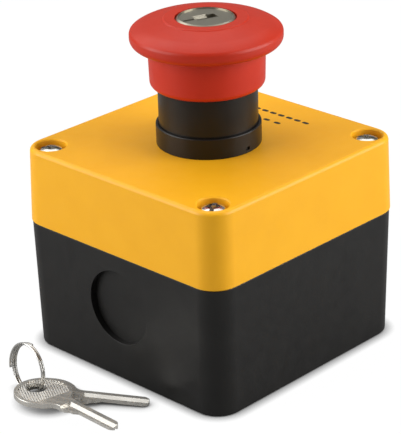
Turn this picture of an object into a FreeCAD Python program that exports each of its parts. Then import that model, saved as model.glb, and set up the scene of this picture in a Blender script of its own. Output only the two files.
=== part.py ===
import FreeCAD, Part
import math
import os
import re
import Sketcher
from FreeCAD import Placement, Rotation, Vector

# Emergency stop button box with a key-release mushroom button.
# Origin at the centre of the base's underside, +Z out of the box along the button's travel,
# front cable entry on the -Y wall. Millimetres and degrees.

SIZES = (
    # Housing: black base and yellow cover, drafted away from the split between them
    ("box_width", 72.0),
    ("box_depth", 72.0),
    ("corner_radius", 7.0),
    ("base_height", 36.0),
    ("cover_height", 21.0),
    ("base_inset", 0.18),
    ("base_draft", 0.9),
    ("cover_draft", 1.33),
    ("side_wall", 2.8),
    ("floor_thickness", 3.0),
    ("lid_thickness", 3.0),
    ("base_edge", 0.5),
    ("cover_edge", 1.1),
    # Seal between base and cover: groove in the base, tongue on the cover, soft ring between
    ("seal_land", 0.8),
    ("seal_width", 1.1),
    ("seal_depth", 2.0),
    ("seal_thickness", 1.2),
    ("seal_fit", 0.08),
    # Cover screws in counterbored posts, which stand inside the arcs of the corners
    ("screw_radius", 1.95),
    ("screw_tip_radius", 1.0),
    ("screw_head_radius", 3.2),
    ("screw_head_height", 2.1),
    ("screw_bite", 14.0),
    ("screw_clearance", 0.3),
    ("thread_clearance", 0.03),
    ("pilot_spare", 1.0),
    ("counterbore_room", 0.9),
    ("counterbore_depth", 2.7),
    ("post_margin", 0.69),
    ("cover_post_wall", 1.5),
    ("base_post_wall", 2.65),
    # Wall fixing holes in the base's floor and the cable entries to be knocked out
    ("fixing_inset_x", 16.0),
    ("fixing_inset_y", 11.0),
    ("fixing_hole_radius", 2.2),
    ("entry_drop", 15.0),
    ("entry_radius", 10.3),
    ("entry_recess", 2.0),
    # Fixed guide of the button, clamped in the cover's round hole
    ("tube_wall", 2.53),
    ("tube_step", 2.13),
    ("barrel_length", 12.7),
    ("panel_fit", 0.15),
    ("spring_seat_depth", 7.0),
    ("panel_seal_thickness", 0.8),
    ("bezel_wall", 0.77),
    ("bezel_height", 5.65),
    ("bezel_edge", 0.3),
    ("bezel_fit", 0.05),
    ("bezel_notch_width", 1.4),
    ("bezel_notch_height", 0.9),
    ("bezel_notch_lift", 0.8),
    ("bezel_notch_depth", 0.5),
    ("wiper_lift", 2.6),
    ("wiper_thickness", 1.5),
    ("wiper_groove", 0.8),
    ("wiper_gap", 0.1),
    ("nut_width", 3.5),
    ("nut_thickness", 3.5),
    ("nut_slot", 3.0),
    ("nut_slot_depth", 1.6),
    ("washer_thickness", 0.8),
    # Mushroom head, stacked up from the bezel ring and the travel
    ("travel", 6.0),
    ("slide_clearance", 0.3),
    ("end_clearance", 0.5),
    ("skirt_gap", 4.35),
    ("skirt_length", 11.1),
    ("skirt_wall", 1.67),
    ("skirt_flare", 0.3),
    ("skirt_round", 1.5),
    ("rim_overhang", 4.6),
    ("rim_bottom_round", 2.1),
    ("rim_flat", 0.3),
    ("rim_top_round", 1.3),
    ("dome_rise", 3.4),
    ("dome_shoulder_width", 2.4),
    ("dome_shoulder_rise", 1.6),
    ("dome_round", 10.0),
    ("dome_thickness", 4.7),
    ("platform_width", 3.15),
    ("platform_step", 0.35),
    ("hub_wall", 2.5),
    ("hub_floor", 2.3),
    # Key lock in the head; the radii of hub, guide and skirt are worked outwards from it
    ("lock_radius", 7.75),
    ("lock_stand", 0.1),
    ("lock_length", 14.7),
    ("lock_gap", 0.3),
    ("lock_gap_depth", 1.2),
    ("lock_fit", 0.05),
    ("lock_edge", 0.5),
    ("lock_floor", 1.4),
    ("lock_lip", 0.69),
    ("plug_recess", 0.25),
    ("plug_shoulder", 2.4),
    ("turn_fit", 0.06),
    ("keyway_width", 2.4),
    ("keyway_length", 6.0),
    ("keyway_slot_width", 1.0),
    ("keyway_rim", 0.6),
    ("keyway_floor", 1.05),
    ("keyway_angle", 18.7),
    # Cam under the lock and the two latch bolts that its pins draw in
    ("cam_flange", 1.4),
    ("cam_thickness", 1.5),
    ("cam_gap", 0.25),
    ("cam_pin_radius", 0.7),
    ("cam_pin_offset", 3.0),
    ("cam_pin_angle", 30.0),
    ("cam_turn", 45.0),
    ("pin_clearance", 0.3),
    ("bolt_width", 10.0),
    ("bolt_thickness", 2.0),
    ("bolt_gap", 0.15),
    ("bolt_arm_gap", 0.2),
    ("bolt_web", 1.2),
    ("bolt_nose_width", 1.7),
    ("latch_groove_depth", 1.1),
    # Push rod, its foot and the return spring
    ("rod_radius", 4.0),
    ("rod_flange_lip", 0.8),
    ("rod_flange_thickness", 2.0),
    ("spigot_radius", 2.2),
    ("foot_margin", 2.8),
    ("foot_thickness", 2.5),
    ("spring_inside_gap", 2.0),
    ("spring_outside_gap", 1.4),
    ("spring_wire", 1.2),
    ("spring_turns", 5.5),
    # Contact blocks on their carrier in the base
    ("block_gap", 1.5),
    ("block_wall", 1.6),
    ("block_end", 2.0),
    ("carrier_thickness", 3.0),
    ("carrier_wall", 2.0),
    ("carrier_wall_height", 6.0),
    ("carrier_ear_width", 9.0),
    ("carrier_ear_end", 3.5),
    ("carrier_screw_offset", 4.25),
    ("carrier_screw_radius", 1.4),
    ("carrier_screw_bite", 2.0),
    ("small_head_radius", 2.6),
    ("small_head_height", 1.6),
    ("chamber_room", 0.65),
    ("chamber_floor", 2.5),
    ("chamber_roof", 4.0),
    ("plunger_radius", 2.2),
    ("plunger_gap", 0.3),
    ("plunger_edge", 0.55),
    ("plunger_flange_lip", 0.8),
    ("plunger_flange_thickness", 1.2),
    ("bridge_drop", 9.5),
    ("bridge_length", 15.0),
    ("bridge_end_room", 1.0),
    ("bridge_width", 4.4),
    ("bridge_thickness", 1.0),
    ("bridge_boss_wall", 0.7),
    ("contact_gap", 0.1),
    ("contact_spring_radius", 1.9),
    ("contact_spring_wire", 0.6),
    ("contact_spring_turns", 6.5),
    ("contact_overlap", 2.9),
    ("strip_width", 4.0),
    ("strip_thickness", 1.0),
    ("strip_fit", 0.1),
    ("strip_set_back", 0.4),
    ("terminal_partition", 3.0),
    ("clamp_size", 5.6),
    ("clamp_thickness", 1.2),
    ("clamp_side_room", 0.8),
    ("clamp_end_room", 0.3),
    ("terminal_screw_radius", 1.6),
    ("terminal_screw_bite", 4.0),
    # Pair of keys on a split ring, laid in front of the box
    ("key_thickness", 1.4),
    ("key_hole_radius", 2.5),
    ("key_hole_place_x", -8.76),
    ("key_hole_distance", 21.56),
    ("key_bow_radius", 7.65),
    ("key_bow_offset", 2.86),
    ("key_neck_round", 3.0),
    ("key_reach", 29.5),
    ("key_blade_width", 5.1),
    ("key_blade_sink", 2.0),
    ("key_shoulder", 13.8),
    ("key_cut_slope", 1.2),
    ("key_first_cut", 1.0),
    ("key_land", 0.9),
    ("key_bitting_depth", 2.0),
    ("key_nose_length", 1.4),
    ("key_tip_width", 1.4),
    ("key_groove_width", 0.8),
    ("key_groove_depth", 0.4),
    ("key_stack_gap", 0.22),
    ("key_roll_angle", 4.2),
    ("key_spread_angle", 34.8),
    ("key_upper_angle", -1.5),
    ("key_upper_shift_x", 1.13),
    ("key_upper_shift_y", -1.25),
    ("ring_radius", 6.59),
    ("ring_wire", 0.62),
    ("ring_turns", 1.9),
    ("ring_pitch", 0.64),
    ("ring_set_back", 4.24),
    ("ring_set_in", 1.16),
    ("ring_end_angle", 164.0),
    ("ring_lean_angle", 7.2),
    ("ring_yaw_angle", -6.3),
    ("ring_lift", 0.05),
)
NAMES = {name for name, number in SIZES}
WORD = re.compile(r"[a-z_]+")

doc = FreeCAD.newDocument("emergency_stop_box")
sheet = doc.addObject("Spreadsheet::Sheet", "sizes")
for row, (name, number) in enumerate(SIZES, 1):
    sheet.set("A%d" % row, name)
    sheet.set("B%d" % row, str(number))
    sheet.setAlias("B%d" % row, name)
doc.recompute()


# The number that an expression in the sheet's words stands for
def value(text):
    return float(sheet.evalExpression(text))


# The same expression as an object outside the sheet has to write it
def bound(text):
    return WORD.sub(lambda word: "sizes." + word[0] if word[0] in NAMES else word[0], text)


def new_body(label):
    body = doc.addObject("PartDesign::Body", label)
    body.Label = label
    return body


def origin_feature(body, role):
    return [feature for feature in body.Origin.OriginFeatures if feature.Role == role][0]


# Sketch on one of the body's origin planes, shifted in that plane and along its normal
def sketch_on(body, role, name, x="0", y="0", z="0"):
    sketch = body.newObject("Sketcher::SketchObject", name)
    sketch.AttachmentSupport = [(origin_feature(body, role), "")]
    sketch.MapMode = "FlatFace"
    for axis, shift in (("x", x), ("y", y), ("z", z)):
        sketch.setExpression("AttachmentOffset.Base." + axis, bound(shift))
    return sketch


def constrain(sketch, expression, *constraint):
    index = sketch.addConstraint(Sketcher.Constraint(*constraint, value(expression)))
    sketch.setExpression("Constraints[%d]" % index, bound(expression))


# Hold a sketch point at (x, y) from the sketch's origin
def hold(sketch, geometry, point, x, y):
    for kind, axis, place in (("DistanceX", -2, x), ("DistanceY", -1, y)):
        if abs(value(place)) < 1e-9:
            sketch.addConstraint(Sketcher.Constraint("PointOnObject", geometry, point, axis))
        elif value(place) < 0:
            constrain(sketch, "-(%s)" % place, kind, geometry, point, -1, 1)
        else:
            constrain(sketch, place, kind, -1, 1, geometry, point)


# Closed outline of straight sides through the given corners
def outline(sketch, points):
    corners = [Vector(value(x), value(y), 0) for x, y in points]
    count = len(corners)
    first = sketch.GeometryCount
    for i in range(count):
        sketch.addGeometry(Part.LineSegment(corners[i], corners[(i + 1) % count]), False)
    for i in range(count):
        sketch.addConstraint(Sketcher.Constraint("Coincident", first + i, 2, first + (i + 1) % count, 1))
    for i, (x, y) in enumerate(points):
        hold(sketch, first + i, 1, x, y)


def rectangle(sketch, x_low, x_high, y_low, y_high):
    outline(sketch, ((x_low, y_low), (x_high, y_low), (x_high, y_high), (x_low, y_high)))


def circle(sketch, x, y, radius):
    centre = Vector(value(x), value(y), 0)
    geometry = sketch.addGeometry(Part.Circle(centre, Vector(0, 0, 1), value(radius)), False)
    hold(sketch, geometry, 3, x, y)
    constrain(sketch, radius, "Radius", geometry)


# Rectangle with round corners, centred on the sketch's origin: side, corner, side, corner
def rounded(sketch, half_x, half_y, radius):
    wide, deep, bend = value(half_x), value(half_y), value(radius)
    first = sketch.GeometryCount
    turns = ((1, -1, 270), (1, 1, 0), (-1, 1, 90), (-1, -1, 180))
    ends = []
    for sx, sy, start in turns:
        centre = Vector(sx * (wide - bend), sy * (deep - bend), 0)
        corner = Part.Circle(centre, Vector(0, 0, 1), bend)
        ends.append(Part.ArcOfCircle(corner, math.radians(start), math.radians(start + 90)))
    for i, arc in enumerate(ends):
        before = ends[i - 1]
        sketch.addGeometry(Part.LineSegment(before.EndPoint, arc.StartPoint), False)
        sketch.addGeometry(arc, False)
    for i in range(4):
        side, corner, after = first + 2 * i, first + 2 * i + 1, first + (2 * i + 2) % 8
        sketch.addConstraint(Sketcher.Constraint("Tangent", side, 2, corner, 1))
        sketch.addConstraint(Sketcher.Constraint("Tangent", corner, 2, after, 1))
        sketch.addConstraint(Sketcher.Constraint("Vertical" if i % 2 else "Horizontal", side))
    constrain(sketch, radius, "Radius", first + 1)
    for i in (3, 5, 7):
        sketch.addConstraint(Sketcher.Constraint("Equal", first + 1, first + i))
    constrain(sketch, half_y, "DistanceY", first, 1, -1, 1)
    constrain(sketch, half_x, "DistanceX", -1, 1, first + 2, 1)
    constrain(sketch, half_y, "DistanceY", -1, 1, first + 4, 1)
    constrain(sketch, half_x, "DistanceX", first + 6, 1, -1, 1)


def volume(body):
    doc.recompute()
    return body.Shape.Volume if body.Tip and body.Tip.isDerivedFrom("PartDesign::Feature") else 0.0


# Straight feature from a sketch; a pad has to add to the solid and a pocket has to cut it
def extrude(body, kind, name, sketch, length, reverse=False, taper=None, midplane=False):
    before = volume(body)
    feature = body.newObject("PartDesign::" + kind, name)
    feature.Profile = sketch
    feature.Reversed = reverse
    feature.Midplane = midplane
    feature.setExpression("Length", bound(length))
    if taper:
        feature.setExpression("TaperAngle", bound(taper))
    change = volume(body) - before
    if (change if kind == "Pad" else -change) < 1e-4:
        raise RuntimeError("%s of %s changes nothing" % (name, body.Label))
    return feature


def pad(body, name, sketch, length, **options):
    return extrude(body, "Pad", name, sketch, length, **options)


def pocket(body, name, sketch, length, **options):
    return extrude(body, "Pocket", name, sketch, length, **options)


# Turned piece about the Z axis, or about a line parallel to it at (x, y)
def turned(body, name, points, x="0", y="0"):
    sketch = sketch_on(body, "XZ_Plane", name + "_profile", x=x, z="-(%s)" % y)
    outline(sketch, points)
    feature = body.newObject("PartDesign::Revolution", name)
    feature.Profile = sketch
    feature.ReferenceAxis = (sketch, ["V_Axis"])
    feature.Angle = 360
    doc.recompute()
    return feature


def polar(body, name, features, count):
    doc.recompute()
    pattern = body.newObject("PartDesign::PolarPattern", name)
    pattern.Originals = features
    pattern.Axis = (origin_feature(body, "Z_Axis"), [""])
    pattern.Angle = 360
    pattern.Occurrences = count
    body.Tip = pattern
    doc.recompute()


# Round the edges of the finished solid that the test picks out
def fillet(body, name, radius, wanted):
    doc.recompute()
    base = body.Tip
    edges = ["Edge%d" % i for i, edge in enumerate(base.Shape.Edges, 1) if wanted(edge.BoundBox)]
    feature = body.newObject("PartDesign::Fillet", name)
    feature.Base = (base, edges)
    feature.setExpression("Radius", bound(radius))
    doc.recompute()


def at_height(box, height):
    return abs(box.ZMin - value(height)) < 1e-3 and abs(box.ZMax - value(height)) < 1e-3


# Test for a full circle about the Z axis with this radius at this height
def ring_edge(radius, height):
    return lambda box: at_height(box, height) and abs(box.XMax - value(radius)) < 1e-3


# Coil of square wire about the Z axis, from one height to another
def coil(body, radius, wire, low, high, turns):
    half = "(%s) / 2" % wire
    sketch = sketch_on(body, "XZ_Plane", "wire")
    inside, outside = "%s - %s" % (radius, half), "%s + %s" % (radius, half)
    rectangle(sketch, inside, outside, low, "%s + %s" % (low, wire))
    feature = body.newObject("PartDesign::AdditiveHelix", "coil")
    feature.Profile = sketch
    feature.ReferenceAxis = (sketch, ["V_Axis"])
    feature.Mode = "height-turns-angle"
    feature.setExpression("Height", bound("(%s) - (%s) - %s" % (high, low, wire)))
    feature.setExpression("Turns", bound(turns))
    doc.recompute()


# Plan of the housing at the split; a screw's post stands post_margin inside the arc of its corner
BASE_X = "(box_width / 2 - base_inset)"
BASE_Y = "(box_depth / 2 - base_inset)"
BASE_R = "(corner_radius - base_inset)"
COUNTERBORE = "(screw_head_radius + counterbore_room)"
COVER_POST = "(%s + cover_post_wall)" % COUNTERBORE
BASE_POST = "(screw_radius + base_post_wall)"
SCREW_INSET = "(corner_radius - (corner_radius - %s - post_margin) * sqrt(0.5))" % COVER_POST
SCREW_X = "(box_width / 2 - %s)" % SCREW_INSET
SCREW_Y = "(box_depth / 2 - %s)" % SCREW_INSET
CORNERS = [(sx + SCREW_X, sy + SCREW_Y) for sx in ("-", "") for sy in ("-", "")]
FIXING_X = "(box_width / 2 - fixing_inset_x)"
FIXING_Y = "(box_depth / 2 - fixing_inset_y)"
ENTRY_Z = "(base_height - entry_drop)"

# Radii of the button, from the lock outwards
LOCK_BORE = "(lock_radius + lock_fit)"
LOCK_HOLE = "(lock_radius + lock_gap)"
PLATFORM = "(lock_radius + platform_width)"
PLUG_BORE = "(lock_radius - lock_lip)"
PLUG_RADIUS = "(%s - turn_fit)" % PLUG_BORE
NECK_RADIUS = "(%s - plug_shoulder)" % PLUG_RADIUS
NECK_BORE = "(%s + turn_fit)" % NECK_RADIUS
CAM_RADIUS = "(%s + cam_flange)" % NECK_RADIUS
CAM_CHAMBER = "(%s + 2 * slide_clearance)" % CAM_RADIUS
HUB_RADIUS = "(%s + hub_wall)" % LOCK_BORE
TUBE_BORE = "(%s + slide_clearance)" % HUB_RADIUS
TUBE_RADIUS = "(%s + tube_wall)" % TUBE_BORE
BARREL_RADIUS = "(%s - tube_step)" % TUBE_RADIUS
PANEL_HOLE = "(%s + panel_fit)" % BARREL_RADIUS
NUT_RADIUS = "(%s + nut_width)" % BARREL_RADIUS
BEZEL_BORE = "(%s + bezel_fit)" % TUBE_RADIUS
BEZEL_RADIUS = "(%s + bezel_wall)" % BEZEL_BORE
SKIRT_BORE = "(%s + slide_clearance)" % TUBE_RADIUS
SKIRT_RADIUS = "(%s + skirt_wall)" % SKIRT_BORE
SKIRT_ROOT = "(%s + skirt_flare)" % SKIRT_RADIUS
HEAD_RADIUS = "(%s + rim_overhang)" % SKIRT_ROOT
ROD_BORE = "(rod_radius + slide_clearance)"
SPRING_RADIUS = "(rod_radius + spring_inside_gap + spring_wire / 2)"
SPRING_BORE = "(%s + spring_wire / 2 + spring_outside_gap)" % SPRING_RADIUS
ROD_FLANGE_RADIUS = "(%s + spring_wire / 2 + rod_flange_lip)" % SPRING_RADIUS

# Heights of the button, from the cover's top upwards, and of the lock's pieces from its face down
TOP = "(base_height + cover_height)"
CEILING = "(%s - lid_thickness)" % TOP
SCREW_SEAT = "(%s - counterbore_depth)" % TOP
BARREL_END = "(%s - barrel_length)" % TOP
SPRING_SEAT = "(%s - spring_seat_depth)" % TOP
TUBE_FOOT = "(%s + panel_seal_thickness)" % TOP
BEZEL_TOP = "(%s + bezel_height)" % TOP
SKIRT_BOTTOM = "(%s + travel + skirt_gap)" % BEZEL_TOP
WIPER_LOW = "(%s + wiper_lift)" % SKIRT_BOTTOM
WIPER_HIGH = "(%s + wiper_thickness)" % WIPER_LOW
RIM_BOTTOM = "(%s + skirt_length)" % SKIRT_BOTTOM
RIM_TOP = "(%s + rim_bottom_round + rim_flat + rim_top_round)" % RIM_BOTTOM
HEAD_TOP = "(%s + dome_rise)" % RIM_TOP
HEAD_CEILING = "(%s - dome_thickness)" % HEAD_TOP
TUBE_TOP = "(%s - travel - end_clearance)" % HEAD_CEILING
LOCK_FACE = "(%s + lock_stand)" % HEAD_TOP
LOCK_BOTTOM = "(%s - lock_length)" % LOCK_FACE
LOCK_INSIDE = "(%s + lock_floor)" % LOCK_BOTTOM
PLUG_FACE = "(%s - plug_recess)" % LOCK_FACE
CAM_TOP = "(%s - cam_gap)" % LOCK_BOTTOM
CAM_BOTTOM = "(%s - cam_thickness)" % CAM_TOP
BOLT_TOP = "(%s - cam_gap - bolt_gap)" % CAM_BOTTOM
BOLT_BOTTOM = "(%s - bolt_thickness)" % BOLT_TOP
CHANNEL_LOW = "(%s - bolt_gap)" % BOLT_BOTTOM
CHANNEL_HIGH = "(%s + bolt_gap)" % BOLT_TOP
LATCH_LOW = "(%s - travel - slide_clearance)" % BOLT_BOTTOM
LATCH_HIGH = "(%s - travel + slide_clearance)" % BOLT_TOP
HUB_BOTTOM = "(%s - hub_floor)" % CHANNEL_LOW
HUB_STOP = "(%s - travel - 2 * end_clearance)" % HUB_BOTTOM
ROD_FLANGE = "(%s - rod_flange_thickness)" % HUB_BOTTOM
FOOT_TOP = "(%s - slide_clearance)" % BARREL_END
FOOT_BOTTOM = "(%s - foot_thickness)" % FOOT_TOP

# Places of the contact pieces: heights between the carrier and the pressed foot, half widths
# from the plunger outwards, half lengths from the bridge outwards
BLOCK_BOTTOM = "(floor_thickness + carrier_thickness)"
BLOCK_TOP = "(%s - travel - end_clearance)" % FOOT_BOTTOM
CHAMBER_LOW = "(%s + chamber_floor)" % BLOCK_BOTTOM
CHAMBER_HIGH = "(%s - chamber_roof)" % BLOCK_TOP
BRIDGE_TOP = "(%s - bridge_drop)" % BLOCK_TOP
BRIDGE_BOTTOM = "(%s - bridge_thickness)" % BRIDGE_TOP
PLUNGER_TOP = "(%s - plunger_gap)" % FOOT_BOTTOM
PLUNGER_FOOT = "(%s - plunger_flange_thickness)" % BRIDGE_BOTTOM
STRIP_BOTTOM = "(%s + contact_gap)" % BRIDGE_TOP
STRIP_TOP = "(%s + strip_thickness)" % STRIP_BOTTOM
CLAMP_TOP = "(%s + clamp_thickness)" % STRIP_TOP
PLUNGER_FLANGE = "(plunger_radius + plunger_flange_lip)"
BLOCK_WIDTH = "(2 * (%s + chamber_room + block_wall))" % PLUNGER_FLANGE
BLOCK_MIDDLE = "((block_gap + %s) / 2)" % BLOCK_WIDTH
BLOCK_REACH = "(block_gap / 2 + %s)" % BLOCK_WIDTH
FOOT_RADIUS = "(%s + plunger_radius + foot_margin)" % BLOCK_MIDDLE
CARRIER_SCREW = "(%s + carrier_screw_offset)" % BLOCK_REACH
CARRIER_EAR = "(%s + carrier_ear_end)" % CARRIER_SCREW
TERMINAL_WIDTH = "(clamp_size + 2 * clamp_side_room)"
CHAMBER_HALF = "(bridge_length / 2 + bridge_end_room)"
STRIP_START = "(bridge_length / 2 - contact_overlap)"
TERMINAL_WALL = "(%s + terminal_partition)" % CHAMBER_HALF
CLAMP_START = "(%s + clamp_end_room)" % TERMINAL_WALL
CLAMP_END = "(%s + clamp_size)" % CLAMP_START
TERMINAL = "(%s + clamp_size / 2)" % CLAMP_START
STRIP_END = "(%s - strip_set_back)" % CLAMP_END
BLOCK_HALF = "(%s + block_end)" % STRIP_END
CARRIER_HALF = "(%s + carrier_wall + strip_fit)" % BLOCK_HALF


def ring_plan(sketch, outside, inside):
    for inset in (outside, inside):
        half_x, half_y, radius = ["%s - %s" % (side, inset) for side in (BASE_X, BASE_Y, BASE_R)]
        rounded(sketch, half_x, half_y, radius)


# A circle at each of the four corner screws
def at_corners(sketch, radius):
    for x, y in CORNERS:
        circle(sketch, x, y, radius)


# Black base: drafted tray with four screw posts, fixing holes, a seal groove and two cable entries
base = new_body("base")
plan = sketch_on(base, "XY_Plane", "plan", z="base_height")
rounded(plan, BASE_X, BASE_Y, BASE_R)
pad(base, "block", plan, "base_height", reverse=True, taper="-base_draft")
fillet(base, "bottom_edge", "base_edge", lambda box: at_height(box, "0"))
plan = sketch_on(base, "XY_Plane", "hollow_plan", z="base_height")
rounded(plan, BASE_X + " - side_wall", BASE_Y + " - side_wall", BASE_R + " - side_wall")
pocket(base, "hollow", plan, "base_height - floor_thickness")
plan = sketch_on(base, "XY_Plane", "post_plan", z="base_height")
at_corners(plan, BASE_POST)
pad(base, "posts", plan, "base_height - floor_thickness / 2", reverse=True)
plan = sketch_on(base, "XY_Plane", "pilot_plan", z="base_height")
at_corners(plan, "screw_radius + thread_clearance")
pocket(base, "pilots", plan, "screw_bite + pilot_spare")
plan = sketch_on(base, "XY_Plane", "seal_plan", z="base_height")
ring_plan(plan, "seal_land", "(seal_land + seal_width)")
pocket(base, "seal_groove", plan, "seal_depth")
plan = sketch_on(base, "XY_Plane", "fixing_plan", z="floor_thickness")
for sx in ("-", ""):
    for sy in ("-", ""):
        circle(plan, sx + FIXING_X, sy + FIXING_Y, "fixing_hole_radius")
pocket(base, "fixing_holes", plan, "floor_thickness")
plan = sketch_on(base, "XY_Plane", "carrier_pilot_plan", z="floor_thickness")
for sx in ("-", ""):
    circle(plan, sx + CARRIER_SCREW, "0", "carrier_screw_radius + thread_clearance")
pocket(base, "carrier_pilots", plan, "carrier_screw_bite + screw_clearance")
plan = sketch_on(base, "XZ_Plane", "entry_plan", z=BASE_Y)
circle(plan, "0", ENTRY_Z, "entry_radius")
recess = pocket(base, "entry_recess", plan, "entry_recess")
polar(base, "entries", [recess], 2)

# Yellow cover: drafted lid with counterbored posts, the button's hole and a tongue on the seal
cover = new_body("cover")
plan = sketch_on(cover, "XY_Plane", "plan", z="base_height")
rounded(plan, "box_width / 2", "box_depth / 2", "corner_radius")
pad(cover, "block", plan, "cover_height", taper="-cover_draft")
fillet(cover, "top_edge", "cover_edge", lambda box: at_height(box, TOP))
plan = sketch_on(cover, "XY_Plane", "hollow_plan", z="base_height")
rounded(plan, "box_width / 2 - side_wall", "box_depth / 2 - side_wall", "corner_radius - side_wall")
pocket(cover, "hollow", plan, "cover_height - lid_thickness", reverse=True)
plan = sketch_on(cover, "XY_Plane", "post_plan", z="base_height")
at_corners(plan, COVER_POST)
pad(cover, "posts", plan, "cover_height - lid_thickness / 2")
plan = sketch_on(cover, "XY_Plane", "counterbore_plan", z=TOP)
at_corners(plan, COUNTERBORE)
pocket(cover, "counterbores", plan, "counterbore_depth")
plan = sketch_on(cover, "XY_Plane", "screw_hole_plan", z=TOP)
at_corners(plan, "screw_radius + screw_clearance")
pocket(cover, "screw_holes", plan, "cover_height")
plan = sketch_on(cover, "XY_Plane", "panel_plan", z=TOP)
circle(plan, "0", "0", PANEL_HOLE)
pocket(cover, "panel_hole", plan, "lid_thickness")
plan = sketch_on(cover, "XY_Plane", "tongue_plan", z="base_height")
ring_plan(plan, "(seal_land + seal_fit)", "(seal_land + seal_width - seal_fit)")
pad(cover, "tongue", plan, "seal_depth - seal_thickness", reverse=True)

# Soft sealing ring at the bottom of the base's groove, under the cover's tongue
cover_gasket = new_body("cover_gasket")
plan = sketch_on(cover_gasket, "XY_Plane", "plan", z="base_height - seal_depth")
ring_plan(plan, "(seal_land + seal_fit)", "(seal_land + seal_width - seal_fit)")
pad(cover_gasket, "ring", plan, "seal_thickness")

# Four pan-head screws through the cover's posts into the base's
cover_screws = new_body("cover_screws")
for number, (x, y) in enumerate(CORNERS, 1):
    turned(cover_screws, "screw_%d" % number, (
        ("0", "base_height - screw_bite"),
        ("screw_tip_radius", "base_height - screw_bite"),
        ("screw_radius", "base_height - screw_bite + screw_radius"),
        ("screw_radius", SCREW_SEAT),
        ("screw_head_radius", SCREW_SEAT),
        ("screw_head_radius", SCREW_SEAT + " + screw_head_height / 2"),
        ("screw_head_radius - screw_head_height / 2", SCREW_SEAT + " + screw_head_height"),
        ("0", SCREW_SEAT + " + screw_head_height"),
    ), x, y)

# Fixed guide: threaded barrel through the cover and the tube that the mushroom head slides on,
# with a groove inside for the latch bolts at full travel and one outside for the wiper
guide = new_body("actuator_body")
turned(guide, "guide", (
    (ROD_BORE, BARREL_END),
    (BARREL_RADIUS, BARREL_END),
    (BARREL_RADIUS, TUBE_FOOT),
    (TUBE_RADIUS, TUBE_FOOT),
    (TUBE_RADIUS, WIPER_LOW),
    (TUBE_RADIUS + " - wiper_groove", WIPER_LOW),
    (TUBE_RADIUS + " - wiper_groove", WIPER_HIGH),
    (TUBE_RADIUS, WIPER_HIGH),
    (TUBE_RADIUS, TUBE_TOP),
    (TUBE_BORE, TUBE_TOP),
    (TUBE_BORE, LATCH_HIGH),
    (TUBE_BORE + " + latch_groove_depth", LATCH_HIGH),
    (TUBE_BORE + " + latch_groove_depth", LATCH_LOW),
    (TUBE_BORE, LATCH_LOW),
    (TUBE_BORE, HUB_STOP),
    (SPRING_BORE, HUB_STOP),
    (SPRING_BORE, SPRING_SEAT),
    (ROD_BORE, SPRING_SEAT),
))

# Wiper ring in the tube's groove, just clear of the sliding skirt
wiper_seal = new_body("wiper_seal")
turned(wiper_seal, "ring", (
    (TUBE_RADIUS + " - wiper_groove", WIPER_LOW),
    (SKIRT_BORE + " - wiper_gap", WIPER_LOW),
    (SKIRT_BORE + " - wiper_gap", WIPER_HIGH),
    (TUBE_RADIUS + " - wiper_groove", WIPER_HIGH),
))

# Bezel ring round the tube's foot, with a small notch on each side
bezel_ring = new_body("bezel_ring")
turned(bezel_ring, "ring", (
    (BEZEL_BORE, TOP),
    (BEZEL_RADIUS, TOP),
    (BEZEL_RADIUS, BEZEL_TOP),
    (BEZEL_BORE, BEZEL_TOP),
))
fillet(bezel_ring, "top_edge", "bezel_edge", ring_edge(BEZEL_RADIUS, BEZEL_TOP))
plan = sketch_on(bezel_ring, "YZ_Plane", "notch_plan", z=BEZEL_RADIUS + " + bezel_notch_depth")
NOTCH_LOW = "(%s + bezel_notch_lift)" % TOP
rectangle(plan, "-bezel_notch_width / 2", "bezel_notch_width / 2",
          NOTCH_LOW, NOTCH_LOW + " + bezel_notch_height")
notch = pocket(bezel_ring, "notch", plan, "2 * bezel_notch_depth")
polar(bezel_ring, "notches", [notch], 2)

# Flat seal between the tube's foot and the cover
panel_gasket = new_body("panel_gasket")
turned(panel_gasket, "ring", (
    (PANEL_HOLE, TOP),
    (TUBE_RADIUS + " - bezel_fit", TOP),
    (TUBE_RADIUS + " - bezel_fit", TUBE_FOOT),
    (PANEL_HOLE, TUBE_FOOT),
))

# Washer and slotted ring nut that clamp the guide from inside the cover
WASHER_LOW = "(%s - washer_thickness)" % CEILING
NUT_LOW = "(%s - nut_thickness)" % WASHER_LOW
lock_washer = new_body("lock_washer")
turned(lock_washer, "ring", (
    (PANEL_HOLE, WASHER_LOW),
    (NUT_RADIUS, WASHER_LOW),
    (NUT_RADIUS, CEILING),
    (PANEL_HOLE, CEILING),
))
fixing_nut = new_body("fixing_nut")
turned(fixing_nut, "ring", (
    (BARREL_RADIUS + " + bezel_fit", NUT_LOW),
    (NUT_RADIUS, NUT_LOW),
    (NUT_RADIUS, WASHER_LOW),
    (BARREL_RADIUS + " + bezel_fit", WASHER_LOW),
))
plan = sketch_on(fixing_nut, "XY_Plane", "slot_plan", z=WASHER_LOW)
rectangle(plan, NUT_RADIUS + " - nut_slot_depth", NUT_RADIUS + " + nut_slot_depth",
          "-nut_slot / 2", "nut_slot / 2")
slot = pocket(fixing_nut, "slot", plan, "nut_thickness")
polar(fixing_nut, "slots", [slot], 6)

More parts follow.
